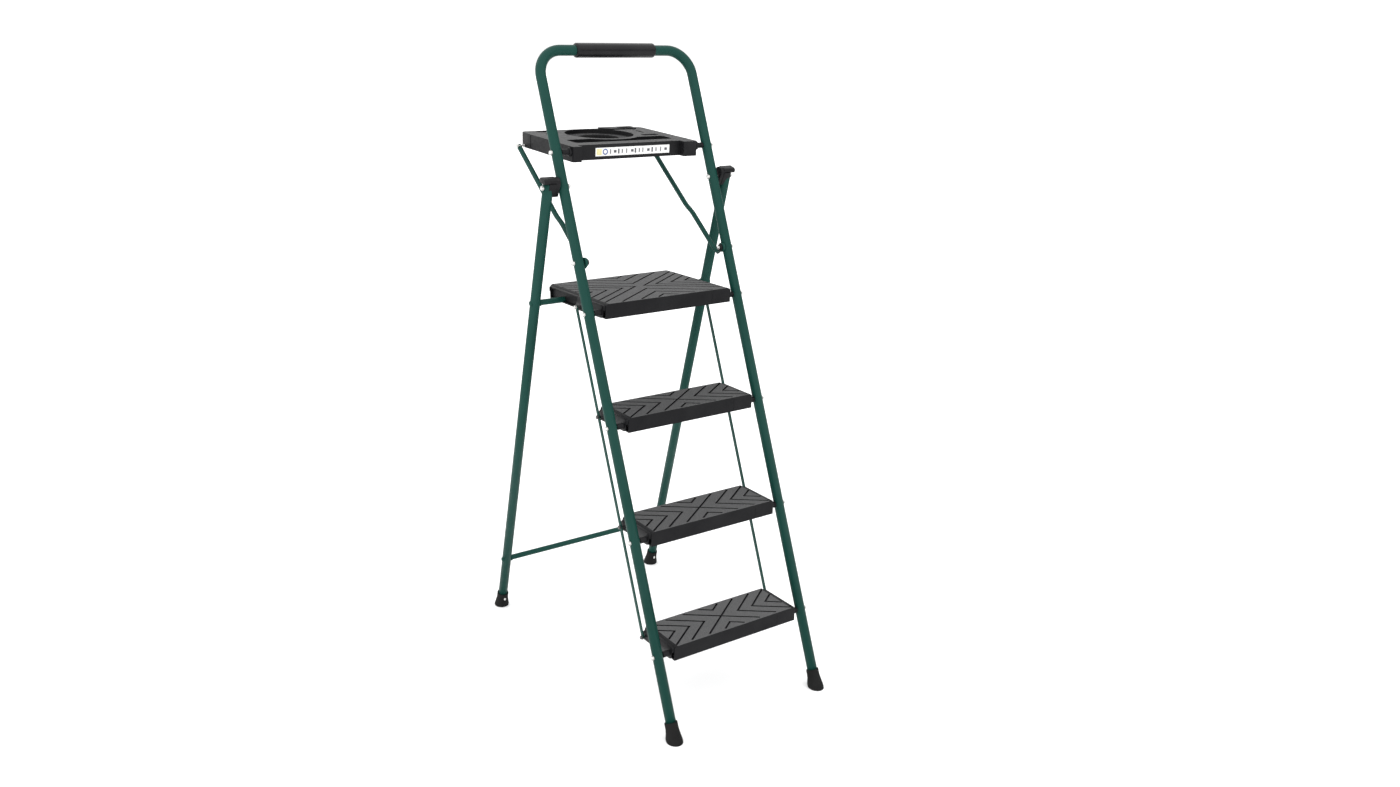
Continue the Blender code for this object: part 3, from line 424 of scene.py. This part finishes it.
def turned(outline, middle):
    """Turns an outline of (place across the ladder, radius) points about a bolt's axis."""
    x, radius = outline[0]
    bpy.ops.mesh.primitive_plane_add(size=0.001, location=(x, middle.y, middle.z + radius))
    made = bpy.context.object
    bpy.ops.object.transform_apply(location=True)
    bpy.ops.object.mode_set(mode='EDIT')
    bpy.ops.mesh.select_mode(type='VERT')
    bpy.ops.mesh.select_all(action='SELECT')
    bpy.ops.mesh.merge(type='CENTER')
    for next_x, next_radius in outline[1:]:
        step_out = (next_x - x, 0, next_radius - radius)
        bpy.ops.mesh.extrude_vertices_move(TRANSFORM_OT_translate={"value": step_out})
        x, radius = next_x, next_radius
    bpy.ops.mesh.select_all(action='SELECT')
    bpy.ops.mesh.spin(steps=TURN_STEPS, angle=2 * pi, center=middle, axis=(1, 0, 0))
    bpy.ops.object.mode_set(mode='OBJECT')
    settle(made, 40)
    return made


def cap_nut(x, way, radius, height):
    """The outline of a domed cap nut on a thin washer, from its face on the tube to its crown."""
    rounds = [(x + way * (FLANGE + height * (STRAIGHT + (1 - STRAIGHT) * sin(turn))),
               CROWN * radius * cos(turn)) for turn in (radians(step * 15) for step in range(7))]
    return [(x, radius), (x + way * FLANGE, radius), (x + way * FLANGE, CROWN * radius)] + rounds


def bolt(node, side_name, body, inner, outer, finish, shank=BOLT_SHANK):
    """A bolt through its parts: inner and outer are the place, way, radius and height of its ends."""
    middle = (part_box(node)[0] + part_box(node)[1]) / 2
    side = SIDES[side_name]
    ends = [cap_nut(side * place, side * way, radius, height)
            for place, way, radius, height in (inner, outer)]
    outline = ends[0][::-1] + [(ends[0][0][0], shank), (ends[1][0][0], shank)] + ends[1]
    keep(turned(outline, middle), "plated_" + node, finish, "zinc_steel", body, node)


RAIL_OUT, RAIL_IN = RAIL_X + TUBE / 2, RAIL_X - TUBE / 2
HEAD = (0.0056, 0.0050)       # radius and crown of a cap nut
LOW_HEAD = (0.0050, 0.0022)   # the same of a flat nut
ROD_BOLT_END = (0.0042, 0.0020)
PIN_HEAD, LINK_HEAD = (0.0050, 0.0030), (0.0050, 0.0050)
RIVET_TAIL = (0.0034, 0.0008)
LINK_TAIL = (0.0036, 0.0008)
NUT_INSET = 0.005             # a bolt's node runs this far past the face its nut sits on
HINGE_INSET, TAIL_INSET, PIN_INSET, LINK_INSET = 0.0035, 0.002, 0.0020, 0.0022
STEPS = 4
BOOT_RIVET = 0.0036
BOOT_RIVET_SHAPE = (0.8, 0.5, 1.3)    # a low oval, tall way up
BOOT_FRONT = 0.0155           # the boot's wall in front of the leg's axis
for side_name in SIDES:
    for node, inner_face, outer_face, inner_end, outer_end in (
            ("hinge_bolt_", RAIL_IN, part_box("hinge_bolt_right")[1].x - HINGE_INSET, HEAD, HEAD),
            ("tray_bolt_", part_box("tray_bolt_right")[0].x + NUT_INSET, RAIL_OUT, LOW_HEAD, HEAD),
            ("tray_rod_bolt_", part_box("rod_cap_nut_right")[0].x, RAIL_OUT, ROD_BOLT_END, HEAD)):
        bolt(node + side_name, side_name, "frame", (inner_face, -1, *inner_end),
             (outer_face, 1, *outer_end), zinc)
    pin_low, pin_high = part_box("tray_rod_pin_right")
    bolt("tray_rod_pin_" + side_name, side_name, "tray_rod_" + side_name,
         (pin_low.x + TAIL_INSET, -1, *RIVET_TAIL), (pin_high.x - PIN_INSET, 1, *PIN_HEAD),
         zinc, RIVET_SHANK)
    for step in range(1, STEPS + 1):
        node = "step_bolt_%d_" % step
        low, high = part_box(node + "right")
        bolt(node + side_name, side_name, "frame", (low.x + NUT_INSET, -1, *LOW_HEAD),
             (RAIL_OUT, 1, *HEAD), zinc)
        # The link rivets of the lower steps take the darker zinc copy, which is painted shade.
        node = "link_rivet_%d_" % step
        low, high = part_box(node + "right")
        bolt(node + side_name, side_name, "step_%d" % step, (low.x + TAIL_INSET, -1, *LINK_TAIL),
             (high.x - LINK_INSET, 1, *LINK_HEAD), zinc if step == STEPS else painted_shade_zinc, RIVET_SHANK)

for side_name, side in SIDES.items():
    boot = (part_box("rear_foot_" + side_name)[0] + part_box("rear_foot_" + side_name)[1]) / 2
    boot_axis = LEG_FOOT_Y - boot.z * sin(LEG_LEAN) / cos(LEG_LEAN)
    bpy.ops.mesh.primitive_uv_sphere_add(segments=24, ring_count=12, radius=BOOT_RIVET,
                                         location=(side * LEG_X, boot_axis - BOOT_FRONT, boot.z))
    rivet = bpy.context.object
    rivet.scale = BOOT_RIVET_SHAPE
    rivet.rotation_euler.x = LEG_LEAN
    settle(rivet)
    keep(rivet, "boot_rivet_" + side_name, zinc, "zinc_steel", "rear_frame")

# ---- Treads ------------------------------------------------------------------------------
# Each step is topped by a moulded black plastic tread. Chevron grooves run out from its
# middle to the edges, and the ribs between them have a fine pimpled grain. The upward faces
# get a lighter grey copy of the black plastic, painted light for tops lit from above.

TREAD_WALL = 0.0032
EDGE_ROUND = 0.0055
END_ROUND = 0.009             # top edges at the two ends
END_LIP, END_RECESS = 0.003, 0.006
GROOVE = 0.0046
GROOVE_DEPTH = 0.0036
GROOVE_ANGLE = radians(37.5)
GROOVE_MARGIN = 0.0075        # end of a groove to the tread's front or rear edge
GROOVE_STOP = 0.002           # end of a groove to the rounding at the tread's end
STEP_CHEVRONS = ((0.0, 0.048, 0.090, 0.130), (0.034,))
PLATFORM_CHEVRONS = ((0.0125, 0.047, 0.090, 0.130), (0.032, 0.071, 0.106))
SEAM_X = 0.118
SEAM = 0.0007
TREAD_ARRIS = 0.0010          # rounding of the remaining sharp edges

tread_side, tree, shader, place = finish_nodes("tread_side")
blotch(tree, spread(tree, grain(tree, place, 20), 0.0, 1.0), (0.005, 0.005, 0.006), (0.009, 0.009, 0.010),
       shader.inputs["Base Color"])
shader.inputs["Roughness"].default_value = 0.50
shader.inputs["Specular IOR Level"].default_value = 0.12
relief(tree, grain(tree, place, 800, 3), shader, 0.25, 0.0003)

# Upward faces: the pimpled grain pattern is real texture, but its grey level, far lighter than the sides,
# is painted light from above.
tread_top, tree, shader, place = finish_nodes("tread_top")
pimples = tree.nodes.new("ShaderNodeTexVoronoi")
pimples.inputs["Scale"].default_value = 520
pimples.inputs["Randomness"].default_value = 0.35
tree.links.new(place, pimples.inputs["Vector"])
blotch(tree, spread(tree, pimples.outputs["Distance"], 1.0, 0.0, 0.1, 0.7), (0.040, 0.040, 0.041),
       (0.118, 0.118, 0.120), shader.inputs["Base Color"])
shader.inputs["Roughness"].default_value = 0.62
shader.inputs["Specular IOR Level"].default_value = 0.35
relief(tree, spread(tree, pimples.outputs["Distance"], 1.0, 0.0, 0.0, 0.8), shader, 0.5, 0.0004)


def block(low, high):
    """A box between two corners, with its place and size in its mesh."""
    low, high = Vector(low), Vector(high)
    bpy.ops.mesh.primitive_cube_add(size=1, location=(low + high) / 2, scale=high - low)
    made = bpy.context.object
    bpy.ops.object.transform_apply(location=True, rotation=True, scale=True)
    return made


def pick(piece, kind, test):
    """Opens a piece in edit mode with only the faces, edges or points that pass a test selected."""
    alone(piece)
    bpy.ops.object.mode_set(mode='EDIT')
    bpy.ops.mesh.select_mode(type=kind)
    bpy.ops.mesh.select_all(action='DESELECT')
    drawn = bmesh.from_edit_mesh(piece.data)
    for item in {'VERT': drawn.verts, 'EDGE': drawn.edges, 'FACE': drawn.faces}[kind]:
        item.select_set(test(item))
    bmesh.update_edit_mesh(piece.data)


def middle_of(edge):
    """The middle of an edge."""
    return (edge.verts[0].co + edge.verts[1].co) / 2


def round_edges(piece, width, segments, test):
    """Rounds the edges of a piece that pass a test."""
    pick(piece, 'EDGE', test)
    bpy.ops.mesh.bevel(offset=width, segments=segments, affect='EDGES', clamp_overlap=True)
    bpy.ops.object.mode_set(mode='OBJECT')


def carve(piece, cutter, operation='DIFFERENCE'):
    """Cuts one shape out of another, or joins them, and removes the cutter."""
    shape_with(piece, 'BOOLEAN', operation=operation, object=cutter, solver='EXACT', use_self=True)
    bpy.data.objects.remove(cutter)


def groove(start, turn, length, top):
    """A cutter for one straight groove from a point, at an angle across the tread."""
    middle = Vector(start) + Vector((cos(turn), sin(turn))) * length / 2
    bpy.ops.mesh.primitive_cube_add(size=1, location=(*middle, top), rotation=(0, 0, turn),
                                    scale=(length + GROOVE, GROOVE, 2 * GROOVE_DEPTH))
    return bpy.context.object


def chevrons(along, across, half_width, half_depth, centre_y, top):
    """Cutters for nested chevrons: points along the width and across the depth from the middle."""
    starts = [(x * flip, 0.0, flip, turn) for x in along for flip in (-1, 1) for turn in (-1, 1)]
    starts += [(0.0, y * turn, flip, turn) for y in across for flip in (-1, 1) for turn in (-1, 1)]
    cutters = []
    for x, y, flip, turn in starts:
        reach = min((half_width - abs(x)) / cos(GROOVE_ANGLE), (half_depth - abs(y)) / sin(GROOVE_ANGLE))
        heading = atan2(turn * sin(GROOVE_ANGLE), flip * cos(GROOVE_ANGLE))
        cutters.append(groove((x, y + centre_y), heading, reach, top))
    return gather(*cutters)


for step in range(1, STEPS + 1):
    low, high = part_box("tread_%d" % step)
    half, depth, centre_y = high.x, high.y - low.y, (low.y + high.y) / 2
    tread = block(low, high)
    round_edges(tread, END_ROUND, 4, lambda edge: middle_of(edge).z > high.z - 1e-5
                and abs(middle_of(edge).x) > half - 1e-5)
    round_edges(tread, EDGE_ROUND, 4, lambda edge: abs(edge.verts[0].co.x + edge.verts[1].co.x) < 1e-5
                and middle_of(edge).z > high.z - 1e-5)
    for side in SIDES.values():
        pick(tread, 'FACE', lambda face: side * face.normal.x > 0.9)
        bpy.ops.mesh.inset(thickness=END_LIP)
        stretch(-side * END_RECESS, 0, 0)
        bpy.ops.object.mode_set(mode='OBJECT')
    inside = half - END_RECESS - TREAD_WALL
    carve(tread, block((-inside, low.y + TREAD_WALL, low.z - TREAD_WALL),
                       (inside, high.y - TREAD_WALL, high.z - TREAD_WALL - GROOVE_DEPTH)))
    settle(tread)
    shape_with(tread, 'BEVEL', width=TREAD_ARRIS, segments=2, limit_method='ANGLE',
               angle_limit=radians(50), use_clamp_overlap=True)
    along, across = PLATFORM_CHEVRONS if step == STEPS else STEP_CHEVRONS
    carve(tread, chevrons(along, across, half - END_ROUND - GROOVE_STOP, depth / 2 - GROOVE_MARGIN,
                          centre_y, high.z))
    carve(tread, block((SEAM_X, low.y - SEAM / 2, low.z + TREAD_ARRIS),
                       (SEAM_X + SEAM, low.y + TREAD_WALL, high.z - EDGE_ROUND)), 'UNION')
    settle(tread)
    keep(tread, "ribbed_tread_%d" % step, tread_side, "tread_plastic", "step_%d" % step, "tread_%d" % step)
    tread.data.materials.append(tread_top)
    # Faces that point up take the lighter top material, which is painted light.
    for face in tread.data.polygons:
        face.material_index = int(face.center.z > high.z - 0.0001 and face.normal.z > 0.9)

# ---- Step pans, link bars and clip -------------------------------------------------------
# Under each tread is a pressed black steel pan with an ear at each end. Two flat green bars
# tie the four pans together, and a nylon clip under the platform seats on the upper crossbar.

black_steel, tree, shader, place = finish_nodes("black_steel")
blotch(tree, spread(tree, grain(tree, place, 30), 0.0, 1.0), (0.004, 0.004, 0.005), (0.008, 0.008, 0.009),
       shader.inputs["Base Color"])
shader.inputs["Roughness"].default_value = 0.40
shader.inputs["Specular IOR Level"].default_value = 0.16
relief(tree, grain(tree, place, 350, 2), shader, 0.12, 0.0004)

PAN_EDGE, LINK_EDGE, CLIP_EDGE = 0.0003, 0.0005, 0.0008
for step in range(1, STEPS + 1):
    refined("step_pan_%d" % step, "pressed_pan_%d" % step, black_steel, "black_steel",
            "step_%d" % step, PAN_EDGE, 2)
for side_name in SIDES:
    refined("link_bar_" + side_name, "flat_link_" + side_name, green_paint, "green_paint",
            "link_" + side_name, LINK_EDGE, 2)
refined("crossbar_clip", "nylon_clip", nylon, "black_plastic", "step_4", CLIP_EDGE, 2)

# ---- Tool tray ---------------------------------------------------------------------------
# The tray is one black plastic moulding, hollow below. It has a stepped round hole for a
# bucket, a long bin along the front, small holes for tools and a proud block at each corner.

# Upward faces of the tray: a lighter copy of the black nylon, painted light from above.
painted_light_nylon, tree, shader, place = finish_nodes("painted_light_nylon")
blotch(tree, spread(tree, grain(tree, place, 40, 5), 0.0, 1.0), (0.013, 0.013, 0.014),
       (0.032, 0.032, 0.033), shader.inputs["Base Color"])
tree.links.new(spread(tree, grain(tree, place, 120), 0.34, 0.50), shader.inputs["Roughness"])
shader.inputs["Specular IOR Level"].default_value = 0.45
relief(tree, grain(tree, place, 900, 3), shader, 0.25, 0.0003)

# Upward bevels along the tray's edges: a much lighter copy of the nylon, a painted highlight where the
# rounded edges catch the light.
painted_highlight_edge, tree, shader, place = finish_nodes("painted_highlight_edge")
blotch(tree, spread(tree, grain(tree, place, 60, 5), 0.0, 1.0), (0.085, 0.085, 0.086),
       (0.180, 0.180, 0.182), shader.inputs["Base Color"])
shader.inputs["Roughness"].default_value = 0.40
shader.inputs["Specular IOR Level"].default_value = 0.45
relief(tree, grain(tree, place, 900, 3), shader, 0.25, 0.0003)

# Places on the tray are across it, back from its pivot and above the pivot.
TILT = radians(3.8)
TRAY_PIVOT = Vector(joints["tray_fold"]["pos_m"])
TRAY_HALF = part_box("tool_tray")[1].x
TRAY_FRONT, TRAY_BACK = -0.0136, 0.2499
TRAY_TOP, TRAY_LOW = 0.0126, -0.0219
DECK = 0.0045
SHELL = 0.0035
FRONT_CORNER, REAR_CORNER = 0.006, 0.014
ARRIS = 0.0017                # rounding of every edge of the moulding
FACE_LEFT, FACE_RIGHT = -0.146, 0.129         # the front face lies back between the corner blocks
FACE_PLACE = TRAY_FRONT + 0.019
BUCKET = (0, 0.1645)
RIM, HOLE = 0.0835, 0.050
RIM_DOWN = 0.009
BIN = (-0.131, 0.133, 0.040, 0.090)           # left, right, front, back
BIN_DOWN = 0.014
BIN_CORNER, BIN_WALL_CORNER = 0.008, 0.010
BIN_CURVE = 0.0980            # the bin narrows round the bucket rim at this radius
RIDGE = (0.044, 0.140, TRAY_BACK - 0.032, TRAY_BACK - 0.0005)
RIDGE_UP = 0.0030             # raised ledge along the rear edge
RIDGE_CORNER = 0.004
SLOT = (0.0920, 0.1370, 0.1065, 0.1245)
SLOT_CORNER = 0.0055
REAR_HOLES = ((-0.134, -0.091, 0.222, 0.244), (0.091, 0.134, 0.222, 0.244))
REAR_HOLE_CORNER = 0.0105
MARKS = ((0.1165, 0.1235, 0.153, 0.189), (0.1165, 0.1245, 0.197, 0.205))
MARK_DOWN, MARK_CORNER = 0.003, 0.002
RIBS = (-0.120, -0.060, 0.060, 0.120)
RIB_HALF, RIB_DOWN = 0.001, 0.028
SIDE_RIB = (0.196, 0.199)     # front and back
SIDE_RIB_PROUD, SIDE_RIB_UP = 0.0008, 0.001
THROUGH = 1                   # far past both faces of the tray


def disc(radius, centre, low, high, sides=96):
    """An upright round cutter between two heights."""
    bpy.ops.mesh.primitive_cylinder_add(vertices=sides, radius=radius, depth=high - low,
                                        location=(*centre, (low + high) / 2))
    made = bpy.context.object
    bpy.ops.object.transform_apply(location=True)
    return made


def upright(edge):
    """Whether an edge runs up and down."""
    return abs(edge.verts[0].co.z - edge.verts[1].co.z) > 1e-4


def pocket(left, right, front, back, low, high, corner):
    """A rounded upright cutter."""
    made = block((left, front, low), (right, back, high))
    round_edges(made, corner, 5, upright)
    return made


tray = block((-TRAY_HALF, TRAY_FRONT, TRAY_LOW), (TRAY_HALF, TRAY_BACK, TRAY_TOP))
round_edges(tray, FRONT_CORNER, 4, lambda edge: upright(edge) and middle_of(edge).y < 0)
round_edges(tray, REAR_CORNER, 5, lambda edge: upright(edge) and middle_of(edge).y > TRAY_BACK - 1e-4)
pick(tray, 'FACE', lambda face: face.normal.z < -0.9)
bpy.ops.mesh.inset(thickness=SHELL)
stretch(0, 0, TRAY_TOP - DECK - TRAY_LOW)
bpy.ops.object.mode_set(mode='OBJECT')

# Walls below the deck and the ledge above it.
under_deck = TRAY_TOP - DECK / 2
bin_wall = pocket(BIN[0] - SHELL, BIN[1] + SHELL, BIN[2] - SHELL, BIN[3] + SHELL,
                  TRAY_TOP - BIN_DOWN - SHELL, under_deck, BIN_WALL_CORNER)
carve(bin_wall, disc(BIN_CURVE - SHELL, BUCKET, -THROUGH, THROUGH))
carve(tray, bin_wall, 'UNION')
carve(tray, disc(RIM + SHELL, BUCKET, TRAY_TOP - RIM_DOWN - SHELL, under_deck), 'UNION')
carve(tray, pocket(*RIDGE, under_deck, TRAY_TOP + RIDGE_UP, RIDGE_CORNER), 'UNION')
carve(tray, block((-TRAY_HALF + SHELL / 2, TRAY_FRONT + SHELL / 2, TRAY_LOW),
                  (TRAY_HALF - SHELL / 2, FACE_PLACE + SHELL, under_deck)), 'UNION')
for x in RIBS:
    carve(tray, block((x - RIB_HALF, TRAY_FRONT + SHELL / 2, TRAY_TOP - RIB_DOWN),
                      (x + RIB_HALF, BIN[2] - SHELL / 2, under_deck)), 'UNION')
for side in SIDES.values():
    inner, outer = side * (TRAY_HALF - SHELL / 2), side * (TRAY_HALF + SIDE_RIB_PROUD)
    carve(tray, block((min(inner, outer), SIDE_RIB[0], TRAY_LOW + SIDE_RIB_UP),
                      (max(inner, outer), SIDE_RIB[1], under_deck)), 'UNION')

# Pockets, holes and the space before the front face.
bin_hollow = pocket(*BIN, TRAY_TOP - BIN_DOWN, THROUGH, BIN_CORNER)
carve(bin_hollow, disc(BIN_CURVE, BUCKET, -2 * THROUGH, 2 * THROUGH))
carve(tray, bin_hollow)
carve(tray, disc(RIM, BUCKET, TRAY_TOP - RIM_DOWN, THROUGH))
carve(tray, disc(HOLE, BUCKET, -THROUGH, THROUGH))
carve(tray, block((FACE_LEFT, TRAY_FRONT - SHELL, -THROUGH), (FACE_RIGHT, FACE_PLACE, THROUGH)))
carve(tray, pocket(*SLOT, -THROUGH, THROUGH, SLOT_CORNER))
for left, right, front, back in MARKS:
    carve(tray, pocket(left, right, front, back, TRAY_TOP - MARK_DOWN, THROUGH, MARK_CORNER))
    carve(tray, pocket(-right, -left, front, back, TRAY_TOP - MARK_DOWN, THROUGH, MARK_CORNER))
for hole in REAR_HOLES:
    carve(tray, pocket(*hole, -THROUGH, THROUGH, REAR_HOLE_CORNER))
tray.rotation_euler.x = TILT
tray.location = TRAY_PIVOT
settle(tray)
keep(tray, "moulded_tray", nylon, "black_plastic", "tray", "tool_tray")
tray.data.materials.append(painted_light_nylon)
tray.data.materials.append(painted_highlight_edge)
shape_with(tray, 'BEVEL', width=ARRIS, segments=3, limit_method='ANGLE', angle_limit=radians(40),
           use_clamp_overlap=True, material=2)
alone(tray)
bpy.ops.object.shade_smooth_by_angle(angle=radians(35))
# Upward faces take the painted light copy, upward bevels keep the painted highlight, and the rest stays
# plain nylon.
tray_up = Vector((0, -sin(TILT), cos(TILT)))
for face in tray.data.polygons:
    facing = face.normal.dot(tray_up)
    if facing < 0.3 or (face.center - TRAY_PIVOT).dot(tray_up) < TRAY_TOP - MARK_DOWN:
        face.material_index = 0
    elif face.material_index != 2 or facing > 0.999:
        face.material_index = 1

# ---- Tray label --------------------------------------------------------------------------
# A white film label is stuck along the front of the tray. Its small printed marks are plain
# shapes with no words.

LABEL = (-0.100, 0.100, -0.0142, 0.0047)      # left, right, low, high
FILM = 0.0003
paper, tree, shader, place = finish_nodes("label_film")
blotch(tree, spread(tree, grain(tree, place, 50), 0.0, 1.0), (0.70, 0.70, 0.69), (0.80, 0.80, 0.79),
       shader.inputs["Base Color"])
shader.inputs["Roughness"].default_value = 0.45
label = block((LABEL[0], FACE_PLACE - FILM, LABEL[2]), (LABEL[1], FACE_PLACE, LABEL[3]))
label.rotation_euler.x = TILT
label.location = TRAY_PIVOT
settle(label)
keep(label, "front_label", paper, "black_plastic", "tray")

MARK = 0.00008                # ink stands this far off the film
INKS = {"grey_ink": (0.07, 0.07, 0.08), "yellow_ink": (0.68, 0.62, 0.33), "blue_ink": (0.02, 0.06, 0.22)}
BARS = (-0.062, -0.052, -0.041, -0.031, -0.019, -0.006, 0.004,
        0.015, 0.025, 0.038, 0.050, 0.061, 0.074, 0.086)
BAR_SIZES = ((0.0026, 0.0105), (0.0070, 0.0060), (0.0040, 0.0110), (0.0030, 0.0090))
PATCH = (-0.0975, -0.0840, 0.0070)            # left, right, half height
RING, RING_LINE, RING_X = 0.0056, 0.0013, -0.0745
RING_FLAT = 0.06


def printed(name, ink, shapes):
    """Flat marks of one ink on the label, each a low block or ring."""
    made_ink, tree, shader, place = finish_nodes(ink)
    colour = Vector(INKS[ink])
    blotch(tree, spread(tree, grain(tree, place, 300), 0.0, 1.0), colour * 0.85, colour * 1.1,
           shader.inputs["Base Color"])
    shader.inputs["Roughness"].default_value = 0.5
    mark = gather(*shapes)
    mark.rotation_euler.x = TILT
    mark.location = TRAY_PIVOT
    settle(mark)
    keep(mark, name, made_ink, "black_plastic", "tray")


MIDDLE = (LABEL[2] + LABEL[3]) / 2
INK_FACE = FACE_PLACE - FILM
bars = []
for number, x in enumerate(BARS):
    width, height = BAR_SIZES[number % len(BAR_SIZES)]
    bars.append(block((x, INK_FACE - MARK, MIDDLE - height / 2),
                      (x + width, INK_FACE, MIDDLE + height / 2)))
printed("label_bars", "grey_ink", bars)
printed("label_patch", "yellow_ink", [block((PATCH[0], INK_FACE - MARK, MIDDLE - PATCH[2]),
                                            (PATCH[1], INK_FACE, MIDDLE + PATCH[2]))])
bpy.ops.mesh.primitive_torus_add(major_segments=32, minor_segments=8, major_radius=RING,
                                 minor_radius=RING_LINE, location=(RING_X, INK_FACE, MIDDLE),
                                 rotation=(pi / 2, 0, 0))
ring = bpy.context.object
ring.scale.z = RING_FLAT
bpy.ops.object.transform_apply(location=True, rotation=True, scale=True)
printed("label_ring", "blue_ink", [ring])

# ---- Tray rods and their fastenings ------------------------------------------------------
# A bent green steel rod holds up each side of the tray. Its foot is flattened into an eye
# on the inside of the rail, under a black cap nut.

ROD_FOOT = Vector(joints["tray_rod_right_swing"]["pos_m"])
ROD_TOP = (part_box("tray_rod_pin_right")[0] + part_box("tray_rod_pin_right")[1]) / 2
ROD_ALONG = (ROD_TOP - ROD_FOOT).yz.normalized()
JOG = (0.128, 0.172)          # the jog's two ends, along the rod from its foot
JOG_CUTS = 6
JOG_SHIFT = 0.0055
BUSH_STOUT = 1.25             # the bush beside the tray is this much thicker than its node
CAP_EDGE, BUSH_EDGE = 0.0006, 0.0005

for side_name in SIDES:
    rod = refined("tray_rod_" + side_name, "bent_rod_" + side_name, green_paint, "green_paint",
                  "tray_rod_" + side_name, 0, smooth=45)
    alone(rod)
    bpy.ops.object.mode_set(mode='EDIT')
    bpy.ops.mesh.select_mode(type='VERT')
    for cut in range(JOG_CUTS + 1):
        along = JOG[0] + (JOG[1] - JOG[0]) * cut / JOG_CUTS
        bpy.ops.mesh.select_all(action='SELECT')
        cut_place = (0, ROD_FOOT.y + along * ROD_ALONG.x, ROD_FOOT.z + along * ROD_ALONG.y)
        bpy.ops.mesh.bisect(plane_co=cut_place, plane_no=(0, ROD_ALONG.x, ROD_ALONG.y))
    bpy.ops.object.mode_set(mode='OBJECT')
    for point in rod.data.vertices:
        share = ((point.co - ROD_FOOT).yz.dot(ROD_ALONG) - JOG[0]) / (JOG[1] - JOG[0])
        share = min(max(share, 0), 1)
        shift = JOG_SHIFT * share * share * (3 - 2 * share)
        point.co.y += shift * ROD_ALONG.y
        point.co.z -= shift * ROD_ALONG.x
    refined("rod_cap_nut_" + side_name, "nylon_cap_nut_" + side_name, nylon, "black_plastic",
            "frame", CAP_EDGE, 2)
    bush = refined("tray_spacer_" + side_name, "nylon_bush_" + side_name, nylon, "black_plastic",
                   "frame", BUSH_EDGE, 2)
    for point in bush.data.vertices:
        point.co.y = TRAY_PIVOT.y + (point.co.y - TRAY_PIVOT.y) * BUSH_STOUT
        point.co.z = TRAY_PIVOT.z + (point.co.z - TRAY_PIVOT.z) * BUSH_STOUT
